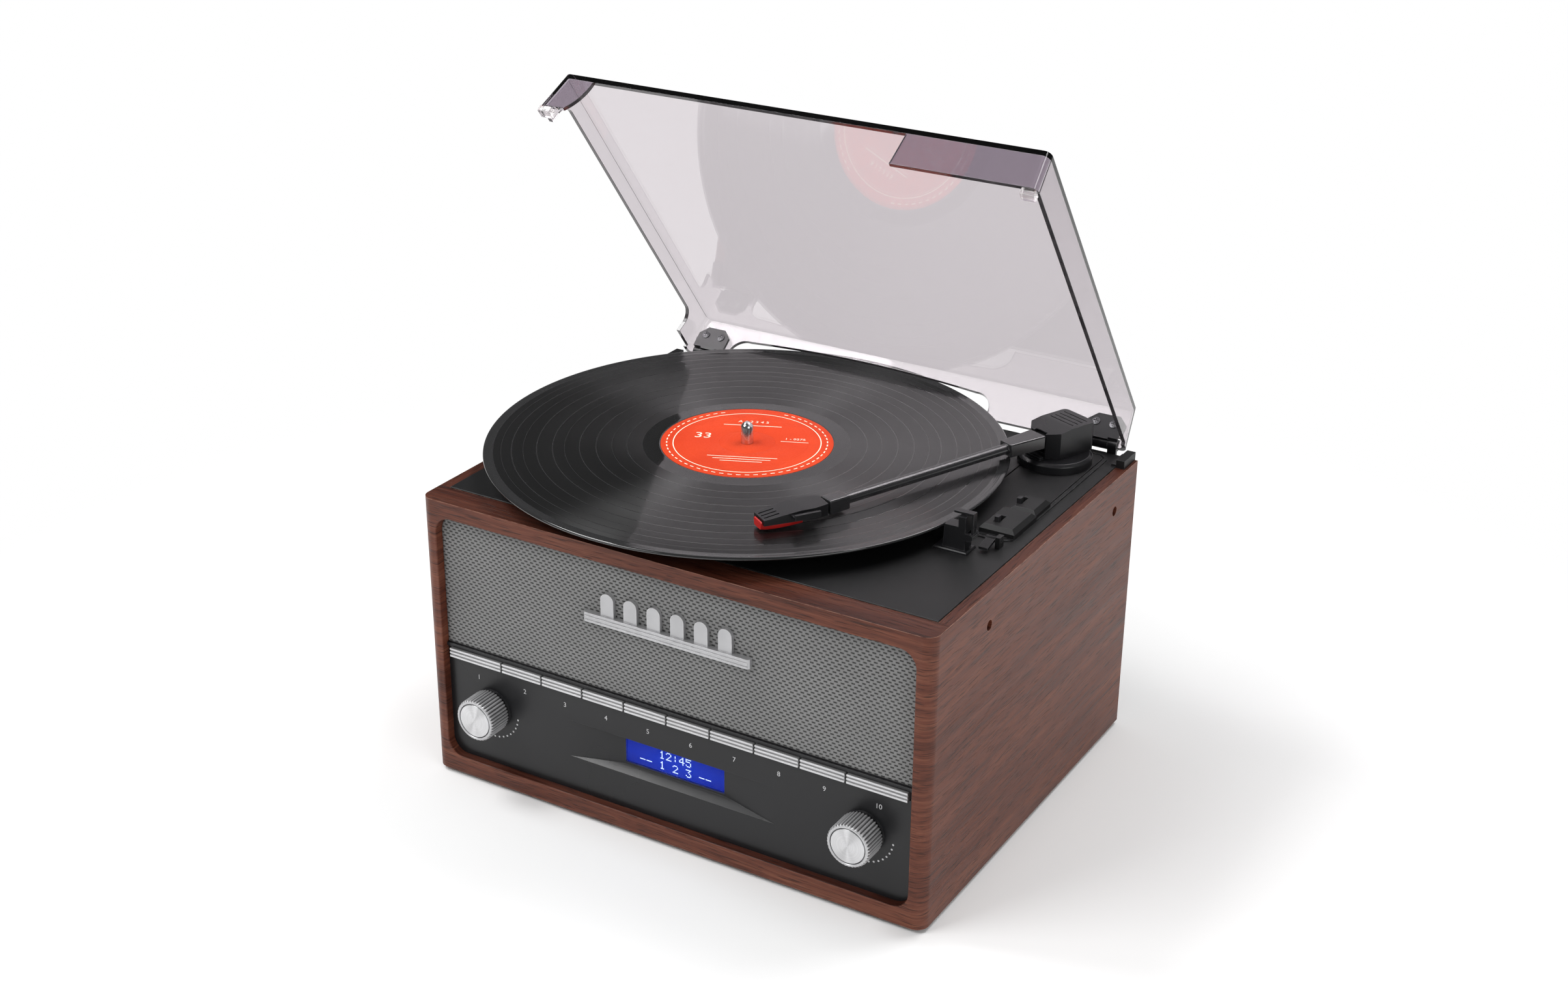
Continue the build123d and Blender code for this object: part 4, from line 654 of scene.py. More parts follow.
def makeGrilleWeave():
    material, tree, shader = newMaterial("grilleWeave")
    place = put(tree, "UVMap", uv_map="surface").outputs[0]
    cells = useGroup(tree, weaveCells, Vector=place)
    fuzz = put(tree, "TexNoise", {"Vector": place, "Scale": 2.6, "Detail": 3.0}).outputs[0]
    slow = put(tree, "TexNoise", {"Vector": place, "Scale": 0.03, "Detail": 2.0}).outputs[0]
    tone = sumUp(tree, "ADD", sumUp(tree, "MULTIPLY", cells["Thread"], 0.6), sumUp(tree, "MULTIPLY", fuzz, 0.45))
    colour = blended(tree, between(tree, tone, 0.25, 0.85), weave["middle"], weave["light"])
    colour = blended(tree, between(tree, slow, 0.3, 0.7, 0.0, 0.2), colour, weave["middle"])
    colour = blended(tree, sumUp(tree, "MULTIPLY", cells["Gap"], 0.92), colour, weave["dark"])
    setShader(tree, shader, Base_Color=colour, Roughness=0.85, Sheen_Weight=0.15, Sheen_Roughness=0.5,
              Normal=bumped(tree, cells["Height"], 0.00022))
    return material


lidPlastic = {
    "tint": (0.69, 0.645, 0.672),
    "lipTint": (0.42, 0.37, 0.43),
    "lipDepth": 0.010,
    "shadow": (0.88, 0.87, 0.88),
    "edgeTint": (0.030, 0.027, 0.031),
}


def letLightThrough(tree, shader, tint):
    # Shadow rays pass through the wall with a tint, so that what lies behind it stays lit.
    clear = put(tree, "BsdfTransparent", {"Color": (*tint, 1)})
    ray = put(tree, "LightPath").outputs
    mixed = put(tree, "MixShader", {0: ray["Is Shadow Ray"], 1: shader.outputs[0], 2: clear.outputs[0]})
    output = next(node for node in tree.nodes if node.type == "OUTPUT_MATERIAL")
    tree.links.new(mixed.outputs[0], output.inputs["Surface"])


def makeSmokedLid(name, tint):
    material, tree, shader = newMaterial(name)
    smear = put(tree, "TexNoise", {"Vector": objectPlace(tree), "Scale": 9.0, "Detail": 4.0}).outputs[0]
    fine = put(tree, "TexNoise", {"Vector": objectPlace(tree), "Scale": 300.0, "Detail": 2.0}).outputs[0]
    rough = sumUp(tree, "ADD", between(tree, smear, 0.45, 0.75, 0.010, 0.045), between(tree, fine, 0.6, 0.8, 0.0, 0.02))
    setShader(tree, shader, Base_Color=tint, Roughness=rough, Transmission_Weight=1.0, IOR=1.49,
              Normal=bumped(tree, smear, 0.00003))
    letLightThrough(tree, shader, lidPlastic["shadow"])
    return material


def makeSmokedEdge():
    material, tree, shader = newMaterial("smokedEdge")
    depth = put(tree, "TexNoise", {"Vector": objectPlace(tree), "Scale": 120.0, "Detail": 3.0}).outputs[0]
    colour = blended(tree, between(tree, depth, 0.3, 0.7), lidPlastic["edgeTint"], (0.075, 0.068, 0.072))
    setShader(tree, shader, Base_Color=colour, Roughness=between(tree, depth, 0.3, 0.7, 0.06, 0.16), Coat_Weight=0.4)
    letLightThrough(tree, shader, lidPlastic["shadow"])
    return material


def makeClear(name, tint, rough=0.03, bend=1.5):
    material, tree, shader = newMaterial(name)
    smear = put(tree, "TexNoise", {"Vector": objectPlace(tree), "Scale": 60.0, "Detail": 3.0}).outputs[0]
    setShader(tree, shader, Base_Color=tint, Roughness=between(tree, smear, 0.4, 0.7, rough, rough + 0.03),
              Transmission_Weight=1.0, IOR=bend, Normal=bumped(tree, smear, 0.00001))
    return material


def makeRubber(name, base=(0.022, 0.022, 0.022)):
    material, tree, shader = newMaterial(name)
    skin = useGroup(tree, mouldedSkin, Scale=1200.0)
    specks = useGroup(tree, dust, Amount=0.3)["Mask"]
    colour = blended(tree, between(tree, skin["Tone"], 0.3, 0.7, 0.0, 0.4), base, tuple(2.0 * part for part in base))
    colour = blended(tree, specks, colour, (0.4, 0.39, 0.37))
    setShader(tree, shader, Base_Color=colour, Roughness=between(tree, skin["Height"], 0.2, 1.2, 0.62, 0.85),
              Normal=bumped(tree, skin["Height"], 0.00006))
    return material


def makeBoard(name, low, high, fibre):
    # Pressed wood fibre or circuit board: short fibres in two tones.
    material, tree, shader = newMaterial(name)
    place = objectPlace(tree)
    strands = put(tree, "TexNoise", {"Vector": vectorUp(tree, "MULTIPLY", place, fibre), "Scale": 1.0, "Detail": 5.0}).outputs[0]
    cells = put(tree, "TexVoronoi", {"Vector": place, "Scale": 500.0}).outputs["Distance"]
    tone = sumUp(tree, "ADD", sumUp(tree, "MULTIPLY", strands, 0.75), sumUp(tree, "MULTIPLY", cells, 0.3))
    setShader(tree, shader, Base_Color=blended(tree, between(tree, tone, 0.3, 0.75), low, high),
              Roughness=between(tree, strands, 0.3, 0.7, 0.55, 0.8), Normal=bumped(tree, tone, 0.00008))
    return material


def makeLitPanel(low, high):
    # The backlight is brightest in the middle of the window and falls off to its rim.
    material, tree, shader = newMaterial("litPanel")
    axes = put(tree, "SeparateXYZ", {0: objectPlace(tree)}).outputs
    wide = sumUp(tree, "ABSOLUTE", sumUp(tree, "DIVIDE", axes[0], float(high[0])))
    middle = float(low[2] + high[2]) / 2
    tall = sumUp(tree, "ABSOLUTE", sumUp(tree, "DIVIDE", sumUp(tree, "SUBTRACT", axes[2], middle), float(high[2]) - middle))
    fall = sumUp(tree, "ADD", sumUp(tree, "MULTIPLY", wide, 0.45), sumUp(tree, "MULTIPLY", tall, 0.35))
    grid = put(tree, "TexNoise", {"Vector": objectPlace(tree), "Scale": 1500.0}).outputs[0]
    glow = blended(tree, between(tree, fall, 0.1, 0.8), (0.012, 0.045, 0.60), (0.006, 0.018, 0.32))
    glow = blended(tree, between(tree, grid, 0.3, 0.7, 0.0, 0.10), glow, (0.03, 0.09, 0.8))
    setShader(tree, shader, Base_Color=(0.002, 0.004, 0.03), Roughness=0.6, Specular_IOR_Level=0.05, Emission_Color=glow,
              Emission_Strength=0.8)
    return material


def makeInk(name, colour, glow=0.0):
    material, tree, shader = newMaterial(name)
    worn = put(tree, "TexNoise", {"Vector": objectPlace(tree), "Scale": 2500.0, "Detail": 2.0}).outputs[0]
    shade = blended(tree, between(tree, worn, 0.45, 0.75, 0.0, 0.35), colour, tuple(0.7 * part for part in colour))
    setShader(tree, shader, Base_Color=shade, Roughness=between(tree, worn, 0.3, 0.7, 0.5, 0.7))
    if glow:
        setShader(tree, shader, Emission_Color=shade, Emission_Strength=glow)
    return material


veneerGrain = makeVeneerGrain()
weaveCells = makeWeaveCells()
walnut = makeWalnut()
deckPlastic = makePlastic("deck")
fasciaPlastic = makePlastic("fascia")
armPlastic = makePlastic("arm")
tubePlastic = makePlastic("tube")
glossPlastic = makePlastic("gloss")
switchPlastic = makePlastic("switches")
hingePlastic = makePlastic("hinges")
backPlastic = makePlastic("backParts")
silver = makeMetal("silver")
badgeSilver = makeMetal("badgeSilver")
chrome = makeMetal("chrome")
steel = makeMetal("steel")
darkScrew = makeMetal("darkScrew")
copper = makeMetal("copper")
nickel = makeMetal("nickel")
platterAlloy = makeMetal("platterAlloy")
rubber = makeRubber("blackRubber")
clearRubber = makeClear("clearRubber", (0.80, 0.76, 0.77), 0.2)
fibreboard = makeBoard("fibreboard", (0.20, 0.13, 0.08), (0.42, 0.31, 0.21), (300, 300, 900))
hardboard = makeBoard("hardboard", (0.020, 0.018, 0.016), (0.060, 0.055, 0.050), (250, 800, 800))
circuitBoard = makeBoard("circuitBoard", (0.015, 0.09, 0.035), (0.04, 0.17, 0.07), (200, 200, 200))
redPlastic = makeClear("redPlastic", (0.75, 0.02, 0.03), 0.12)
redGuard = makeInk("redGuard", (0.52, 0.010, 0.008))
windowClear = makeClear("windowClear", (0.86, 0.90, 0.97), 0.0, 1.12)
whiteInk = makeInk("whiteInk", (0.55, 0.55, 0.56))
creamInk = makeInk("creamInk", (0.82, 0.75, 0.60))
blackInk = makeInk("blackInk", (0.07, 0.02, 0.015))
litInk = makeInk("litInk", (0.70, 0.82, 1.0), 0.95)
print("materials ready:", len(bpy.data.materials))


def standSoft(pieces):
    for node, width, material in pieces:
        stands(softened(node, width), node, material)


standSoft([
    ("cabinet_wrap", 0.0006, walnut),
    ("bottom_board", 0.0004, fibreboard),
    ("back_panel", 0.0003, hardboard),
    ("fascia", 0.0003, fasciaPlastic),
    ("deck_plate", 0.00035, deckPlastic),
    ("badge", 0.0003, badgeSilver),
    ("socket_panel", 0.0003, backPlastic),
    ("mains_inlet", 0.0003, backPlastic),
    ("tonearm_base", 0.0003, armPlastic),
    ("tonearm_housing", 0.0005, armPlastic),
    ("tonearm_tube", 0.0004, tubePlastic),
    ("headshell", 0.00025, armPlastic),
    ("cartridge", 0.0003, glossPlastic),
    ("arm_rest", 0.00025, armPlastic),
    ("arm_rest_clip", 0.0002, glossPlastic),
    ("cue_lever", 0.0002, glossPlastic),
    ("cue_lift_bar", 0.0002, glossPlastic),
    ("speed_switch", 0.0002, switchPlastic),
    ("stop_switch", 0.0002, switchPlastic),
    ("hinge_bases", 0.00025, hingePlastic),
    ("hinge_leaves", 0.00025, hingePlastic),
    ("lid_bumpers", 0.0005, clearRubber),
])
print("softened pieces made")


def stretchedCloth():
    # x = u half(z), where the half width narrows by r - sqrt(r^2 - d^2) at the round top corners,
    # and y dips in a shallow cushion shape: y = front - sag (1 - u^2)(1 - v^2).
    low, high = boxOf("grille_cloth")
    cloth = {"across": 241, "up": 91, "radius": 0.0099, "sag": 0.0003, "thickness": 0.0006}
    u, v = np.meshgrid(np.linspace(-1, 1, cloth["across"]), np.linspace(0, 1, cloth["up"]), indexing="ij")
    z = low[2] + (high[2] - low[2]) * v
    past = np.clip(z - (high[2] - cloth["radius"]), 0, cloth["radius"])
    half = (high[0] - low[0]) / 2 - (cloth["radius"] - np.sqrt(np.clip(cloth["radius"] ** 2 - past ** 2, 0, None)))
    half = np.maximum(half, (high[0] - low[0]) / 2 - cloth["radius"])
    x = u * half
    y = low[1] + 0.00005 + cloth["sag"] * (1 - (1 - u ** 2) * (1 - (2 * v - 1) ** 2))
    points = np.stack([x, y, z], -1)
    uv = np.stack([x / mm, z / mm], -1)
    made = gridMesh("grilleClothSheet", points, uv=uv, outwards=False)
    thick = made.modifiers.new("thickness", "SOLIDIFY")
    thick.thickness = cloth["thickness"] - 0.0003
    thick.offset = -1
    stands(made, "grille_cloth", makeGrilleWeave())
    return made


stretchedCloth()
print("grille cloth made")


recordLow, recordHigh = boxOf("record")
recordMiddle = (recordLow + recordHigh) / 2
recordCentre = (float(recordMiddle[0]), float(recordMiddle[1]), 0.0)
recordRadius = float(recordHigh[0] - recordLow[0]) / 2


def makeRecordDisc():
    # The face carries shallow waves: a bead at the rim and three fine ripples beside it,
    # height = groove level + bead (1 - ((r - middle) / half)^2) + ripple sin(2 pi r / pitch).
    disc = {"hole": 0.00366, "bead": 0.0011, "drop": 0.00028, "runOut": 0.0598, "land": 0.0505, "label": 0.0499}
    top = recordHigh[2]
    low = recordLow[2] + 0.00002
    rim = recordRadius - disc["bead"]
    turn = np.linspace(-math.pi / 2, math.pi / 2, 9)
    middle = (top + low) / 2
    edge = np.stack([rim + np.cos(turn) * disc["bead"], middle + np.sin(turn) * (top - low) / 2], -1)
    rippleRadius = np.linspace(rim - 0.0010, 0.1448, 27)
    ripple = 0.00005 * np.sin((rippleRadius - 0.1448) / 0.0011 * 2 * math.pi)
    fall = np.clip((rippleRadius - 0.1448) / (rim - 0.1448), 0, 1)
    beadLine = np.stack([rippleRadius, top - disc["drop"] * (1 - fall ** 3) - 0.00003 + ripple * fall], -1)
    flat = top - disc["drop"]
    face = np.array([[0.1446, flat], [0.1300, flat], [0.1100, flat], [0.0900, flat], [0.0700, flat],
                     [disc["runOut"], flat], [0.0562, flat + 0.00006], [0.0530, flat + 0.00014], [disc["land"], top - 0.00004],
                     [disc["label"] + 0.0002, top - 0.00004], [disc["label"], top - 0.0002], [disc["hole"], top - 0.0002],
                     [disc["hole"], low]])
    profile = np.concatenate([[[disc["hole"], low]], edge, beadLine, face])
    made = turnedPiece("recordDisc", profile[:-1], recordCentre, steps=256, closed=True, sharpAngle=50)
    return stands(made, "record", makeVinyl(recordCentre))


def makeLabelDisc():
    low, high = boxOf("record_label")
    radius = float(high[0] - low[0]) / 2
    top = float(high[2])
    profile = [(0.00366, top - 0.00019), (radius, top - 0.00019), (radius, top - 0.00006), (radius - 0.0001, top),
               (0.0162, top), (0.0160, top - 0.00008), (0.0158, top), (0.0038, top), (0.00366, top - 0.00006)]
    made = turnedPiece("recordLabelDisc", profile, recordCentre, steps=192, closed=True)
    return stands(made, "record_label", makeLabelPaper(recordCentre))


def makeMatDisc():
    low, high = boxOf("slip_mat")
    radius = float(high[0] - low[0]) / 2
    ribs = np.linspace(radius - 0.002, 0.054, 141)
    relief = high[2] - 0.00015 + 0.00013 * np.sin((ribs - 0.054) / 0.0024 * 2 * math.pi)
    profile = np.concatenate([[[0.0038, low[2]], [radius, low[2]], [radius, high[2] - 0.0003], [radius - 0.0004, high[2]]],
                              np.stack([ribs, relief], -1), [[0.0038, high[2]]]])
    made = turnedPiece("slipMatDisc", profile, recordCentre, steps=128, closed=True)
    return stands(made, "slip_mat", rubber)


def makePlatterDisc():
    # The cast rim has a shallow band with a row of fine grooves, and the underside is hollow.
    low, high = boxOf("platter")
    radius = float(high[0] - low[0]) / 2
    grooves = []
    for step in range(4):
        z = low[2] + 0.0014 + 0.0009 * step
        grooves += [(radius, z), (radius - 0.0003, z + 0.0002), (radius - 0.0003, z + 0.0005), (radius, z + 0.0007)]
    profile = [(0.0038, low[2]), (0.012, low[2]), (0.012, high[2] - 0.0024), (0.059, high[2] - 0.0024),
               (0.059, low[2]), (0.062, low[2]), (0.062, high[2] - 0.0024), (0.096, high[2] - 0.0024),
               (0.096, low[2] + 0.0003), (0.0963, low[2]), (radius - 0.0004, low[2]), (radius, low[2] + 0.0004)]
    profile += grooves + [(radius, high[2] - 0.0006), (radius - 0.0006, high[2]), (0.0038, high[2])]
    made = turnedPiece("platterDisc", profile, recordCentre, steps=192, closed=True)
    return stands(made, "platter", platterAlloy)


def makeSpindlePin():
    low, high = boxOf("spindle")
    r, top = 0.0036, float(high[2])
    shoulder = float(boxOf("platter")[0][2])
    dome = [(0.0, top), (0.0007, top - 0.00003), (0.0013, top - 0.00018), (0.0018, top - 0.0005), (0.0024, top - 0.0011),
            (0.0031, top - 0.0018), (r, top - 0.0030)]
    profile = [(0.0, low[2]), (r, low[2]), (r, shoulder - 0.0012), (0.0075, shoulder - 0.0012), (0.0075, shoulder),
               (r, shoulder)] + dome[::-1]
    made = turnedPiece("spindlePin", profile, recordCentre, steps=64)
    return stands(made, "spindle", chrome)


makeRecordDisc()
makeLabelDisc()
makeMatDisc()
makePlatterDisc()
makeSpindlePin()
print("record and platter made")


def printedText(text, size, place, across, up, name, spin=0.0, thickness=0.00002):
    # Text laid on a plane: place + x across + y up, a hair off the surface.
    curve = bpy.data.curves.new(name + "Curve", "FONT")
    curve.body = text
    curve.size = size
    curve.align_x = "CENTER"
    curve.align_y = "CENTER"
    curve.resolution_u = 3
    made = addObject(name + "Text", curve)
    mesh = bpy.data.meshes.new_from_object(made.evaluated_get(bpy.context.evaluated_depsgraph_get()))
    bpy.data.objects.remove(made)
    bpy.data.curves.remove(curve)
    across, up = Vector(across).normalized(), Vector(up).normalized()
    out = across.cross(up)
    turn = Matrix((across, up, out)).transposed().to_4x4()
    mesh.transform(Matrix.Translation(Vector(place) + out * thickness) @ turn @ Matrix.Rotation(spin, 4, "Z"))
    return addObject(name, mesh)


def flatShapes(name, outlines, place, across, up, thickness=0.00002):
    # Flat outlines in the plane: place + x across + y up.
    across, up = np.array(across, float), np.array(up, float)
    out = np.cross(across, up)
    points, faces = [], []
    for outline in outlines:
        outline = np.asarray(outline)
        faces.append(list(range(len(points), len(points) + len(outline))))
        points += (np.array(place) + outline[:, :1] * across + outline[:, 1:] * up + out * thickness).tolist()
    mesh = bpy.data.meshes.new(name)
    mesh.from_pydata(points, [], faces)
    return addObject(name, mesh)


def barOutline(x, y, width, height, turn=0.0):
    corners = np.array([(-1, -1), (1, -1), (1, 1), (-1, 1)]) * (width / 2, height / 2)
    swing = np.array([[math.cos(turn), math.sin(turn)], [-math.sin(turn), math.cos(turn)]])
    return corners @ swing + (x, y)


def arcOutline(radius, width, start, end, steps=24):
    angle = np.linspace(start, end, steps)
    ring = np.stack([np.cos(angle), np.sin(angle)], -1)
    return np.concatenate([ring * (radius + width / 2), (ring * (radius - width / 2))[::-1]])


head = {"pivot": (0.1204, 0.1003), "arm": -22.3, "reach": 0.1680, "turn": -11.0}


def onHead(points):
    # From the head's own axes (its nose is towards -y) to the object's: turned by the head's angle,
    # shifted along the arm, turned by the arm's angle, and shifted to the pivot.
    def turned(flat, degrees):
        c, s = math.cos(math.radians(degrees)), math.sin(math.radians(degrees))
        return flat @ np.array([[c, s], [-s, c]])

    flat = turned(turned(points[..., :2], head["turn"]) + (0, -head["reach"]), head["arm"]) + head["pivot"]
    return np.concatenate([flat, points[..., 2:]], -1)


def makeStylusGuard():
    # A trapezium carried along the head from its heel, t = 0, to its nose, t = 1. The width is
    # w (1 - 0.35 t^3), the underside rises by lift ((1 - t)^2 + 0.6 t^8), and the top is level but
    # for a tip in front of the shell.
    guard = {"heel": -0.0165, "nose": -0.0400, "width": 0.0142, "above": 0.0006, "height": 0.0036, "lift": 0.0009,
             "tip": 0.0016}
    bottom = float(recordHigh[2]) + guard["above"]
    t = np.concatenate([np.linspace(0, 0.94, 22), np.linspace(0.955, 1, 8)])[:, None]
    outline = roundedOutline([(-0.42, 0), (0.42, 0), (0.5, 1), (-0.5, 1)], 0.16, 4)
    width = guard["width"] * (1 - 0.35 * t ** 3)
    low = guard["lift"] * ((1 - t) ** 2 + 0.6 * t ** 8)
    tip = guard["tip"] * np.clip((t - 0.962) / 0.01, 0, 1) * (1 - 0.3 * np.clip((t - 0.972) / 0.028, 0, 1))
    x = outline[None, :, 0] * width
    z = bottom + low + outline[None, :, 1] * (guard["height"] - low + tip)
    y = np.broadcast_to(guard["heel"] + (guard["nose"] - guard["heel"]) * t, x.shape)
    made = gridMesh("stylusGuard", onHead(np.stack([x, y, z], -1)), wrapColumns=True, caps=True)
    added(made, bodyOf["stylus"], redGuard)


makeStylusGuard()


def makeLabelPrint():
    # Plain numbers and short bars in cream, and a ring of dashes in cream.
    top = float(boxOf("record_label")[1][2])
    centre = (recordCentre[0], recordCentre[1], top)
    turn = math.radians(24)
    across = (math.cos(turn), math.sin(turn), 0)
    up = (-math.sin(turn), math.cos(turn), 0)

    def spot(x, y):
        return tuple(Vector(centre) + Vector(across) * x + Vector(up) * y)

    cream = [
        printedText("33", 0.0105, spot(-0.0265, 0.0065), across, up, "labelSpeed"),
        printedText("A 1 2 3 4 5", 0.0040, spot(0.0, 0.0300), across, up, "labelTracks"),
        printedText("1 - 0275", 0.0036, spot(0.0270, 0.0075), across, up, "labelNumber"),
        flatShapes("labelBars", [barOutline(0, 0.0245, 0.034, 0.0007), barOutline(0, -0.0215, 0.040, 0.0006),
                                 barOutline(0, -0.0245, 0.033, 0.0006), barOutline(0, -0.0275, 0.024, 0.0006),
                                 barOutline(0.0270, 0.0035, 0.016, 0.0005)], centre, across, up),
    ]
    added(joinedPiece("labelCreamPrint", cream), "platter", creamInk)
    dashes = []
    for step in range(60):
        start = 2 * math.pi * step / 60
        if math.cos(start - math.pi / 2) < 0.93:
            dashes.append(arcOutline(0.0462, 0.0007, start, start + 0.055, 4))
    added(flatShapes("labelRimDashes", dashes, centre, across, up), "platter", creamInk)


makeLabelPrint()


buttonShape = {"ridges": 3, "depth": 0.0007, "flange": 0.0013, "round": 0.00022, "endRound": 0.0004}
fasciaLow, fasciaHigh = boxOf("fascia")
buttonBack = float(boxOf("fascia")[0][1]) + 0.0030


def makeButton(index):
    # A ridged outline in y and z carried along x. Near its ends it shrinks about its middle by
    # r - sqrt(r^2 - (r - d)^2), where d is the distance to the end.
    node = f"button_{index}"
    low, high = boxOf(node)
    front = low[1]
    z = np.linspace(low[2] + buttonShape["flange"], high[2] - buttonShape["flange"], 2 * buttonShape["ridges"])
    corners = [(buttonBack, z[0])]
    for step in range(buttonShape["ridges"]):
        bottom, top = z[2 * step], z[2 * step + 1]
        if step:
            corners.append((front + buttonShape["depth"], bottom))
        corners += [(front, bottom), (front, top)]
        if step < buttonShape["ridges"] - 1:
            corners.append((front + buttonShape["depth"], top))
    corners.append((buttonBack, z[-1]))
    outline = roundedOutline(corners, buttonShape["round"], 3)
    r = buttonShape["endRound"]
    offsets = np.array([0, 0.12, 0.3, 0.6, 1.0]) * r
    stations = np.concatenate([low[0] + offsets, high[0] - offsets[::-1]])
    shrink = r - np.sqrt(np.clip(r ** 2 - (r - offsets) ** 2, 0, None))
    shrink = np.concatenate([shrink, shrink[::-1]])[:, None]
    half = (z[-1] - z[0]) / 2
    middle = (z[0] + z[-1]) / 2
    y = outline[None, :, 0] + shrink * (buttonBack - outline[None, :, 0]) / (buttonBack - front)
    height = middle + (outline[None, :, 1] - middle) * (1 - shrink / half)
    x = np.broadcast_to(stations[:, None], y.shape)
    made = gridMesh(f"button{index}Bar", np.stack([x, y, height], -1), wrapColumns=True, caps=True)
    return stands(made, node, buttonMetal)


buttonMetal = makeButtonMetal(float(boxOf("button_1")[0][1]))
for index in range(1, 11):
    makeButton(index)


knobMiddle = (knobLow + knobHigh) / 2
knobMetal = makeKnobMetal(float(knobMiddle[0]), float(knobMiddle[2]), float(knobHigh[0] - knobLow[0]) / 2)


def makeKnob(node, capNode):
    # radius(a, t) = R(t) - flute k(t) (0.5 + 0.5 cos(40 a)), with k = 1 on the side and 0 on the face.
    low, high = boxOf(node)
    centre = (low + high) / 2
    outer = float(high[0] - low[0]) / 2 + 0.00001
    front, back = float(low[1]), float(high[1])
    rows = [
        (0.0, front + knobShape["recessDepth"], 0), (knobShape["recess"] - 0.0002, front + knobShape["recessDepth"], 0),
        (knobShape["recess"], front + knobShape["recessDepth"] - 0.0002, 0), (knobShape["recess"], front + 0.0003, 0),
        (knobShape["recess"] + 0.0003, front, 0), (outer - 0.0014, front, 0), (outer - 0.0010, front + 0.0001, 0.05),
        (outer - 0.0006, front + 0.0004, 0.35), (outer - 0.0003, front + 0.0008, 0.8), (outer, front + 0.0013, 1),
        (outer, front + 0.0040, 1), (outer, front + 0.0080, 1), (outer, back - 0.0012, 1), (outer - 0.0005, back - 0.0004, 1),
        (outer - 0.0011, back, 0.6), (0.0060, back, 0), (0.0, back, 0),
    ]
    radius, y, share = (np.array(column)[None, :] for column in zip(*rows))
    count = knobShape["flutes"] * knobShape["perFlute"]
    angle = np.linspace(0, 2 * math.pi, count, endpoint=False)[:, None]
    wave = 0.5 + 0.5 * np.cos(knobShape["flutes"] * angle)
    radius = radius - knobShape["flute"] * share * wave
    points = np.stack([radius * np.cos(angle), np.broadcast_to(y, radius.shape), radius * np.sin(angle)], -1)
    points = points + np.array([centre[0], 0, centre[2]])
    knob = gridMesh(node + "Fluted", points, wrapRows=True, sharpAngle=42)
    stands(knob, node, knobMetal)
    capLow, capHigh = boxOf(capNode)
    capRadius = float(capHigh[0] - capLow[0]) / 2
    face = float(capLow[1])
    depth = float(capHigh[1])
    profile = [(0.0, face), (0.003, face + 0.00002), (0.006, face + 0.00005), (capRadius - 0.0006, face + 0.00012),
               (capRadius - 0.0002, face + 0.0002), (capRadius, face + 0.0005), (capRadius, depth), (0.0, depth)]
    cap = turnedPiece(capNode + "Spun", profile, (float(centre[0]), 0, float(centre[2])), "y", 160)
    stands(cap, capNode, makeSpunFace((float(centre[0]), 0.0, float(centre[2]))))


makeKnob("volume_knob", "volume_knob_cap")
makeKnob("tuning_knob", "tuning_knob_cap")
print("buttons and knobs made")


digitRows = {
    "0": "01110 10001 10011 10101 11001 10001 01110",
    "1": "00100 01100 00100 00100 00100 00100 01110",
    "2": "01110 10001 00001 00010 00100 01000 11111",
    "3": "11111 00010 00100 00010 00001 10001 01110",
    "4": "00010 00110 01010 10010 11111 00010 00010",
    "5": "11111 10000 11110 00001 00001 10001 01110",
    "8": "01110 10001 10001 01110 10001 10001 01110",
    ":": "00000 00100 00100 00000 00100 00100 00000",
    "-": "00000 00000 00000 11111 00000 00000 00000",
    "|": "00100 00100 00100 00100 00100 00100 00100",
    "/": "00001 00001 00010 00100 01000 10000 10000",
    "<": "00010 00100 01000 10000 01000 00100 00010",
    ">": "01000 00100 00010 00001 00010 00100 01000",
    " ": "00000 00000 00000 00000 00000 00000 00000",
}


def dotText(text, left, top, pitch):
    # Each lit dot is a small square at left + column pitch, top - row pitch.
    dots = []
    for place, sign in enumerate(text):
        for row, line in enumerate(digitRows[sign].split()):
            for column, lit in enumerate(line):
                if lit == "1":
                    x = left + (place * 6 + column) * pitch
                    dots.append(barOutline(x, top - row * pitch, pitch * 0.82, pitch * 0.82))
    return dots


def makeDisplay():
    low, high = boxOf("display_module")
    windowLow, windowHigh = boxOf("display_window")
    panel = {"pitch": 0.00072, "rows": ("12:45", "-- 1 2 3 --")}
    width = float(windowHigh[0] - windowLow[0])
    height = float(windowHigh[2] - windowLow[2])
    back = softened("display_module", 0.0003)
    stands(back, "display_module", backPlastic)
    face = float(low[1]) - 0.00003
    u, v = np.meshgrid(np.linspace(-1, 1, 25), np.linspace(-1, 1, 9), indexing="ij")
    middle = float(windowLow[2] + windowHigh[2]) / 2
    points = np.stack([u * width / 2, np.full_like(u, face), middle + v * height / 2], -1)
    lit = gridMesh("displayBacklight", points, outwards=False)
    if lit.data.polygons[0].normal.y > 0:
        lit.data.flip_normals()
    added(lit, bodyOf["display_module"], makeLitPanel(windowLow, windowHigh))
    dots = []
    for row, line in enumerate(panel["rows"]):
        left = -(6 * len(line) - 1) * panel["pitch"] / 2
        dots += dotText(line, left, height / 2 - 0.0016 - 0.0066 * row, panel["pitch"])
    text = flatShapes("displayDots", dots, (0, face, middle), (1, 0, 0), (0, 0, 1), 0.00004)
    added(text, bodyOf["display_module"], litInk)
    stands(softened("display_window", 0.0002), "display_window", windowClear)


makeDisplay()


scaleMarks = {"number": 0.0042, "drop": 0.0085, "dot": 0.0006, "reach": 0.0180, "dots": 10, "first": -98, "step": 10}


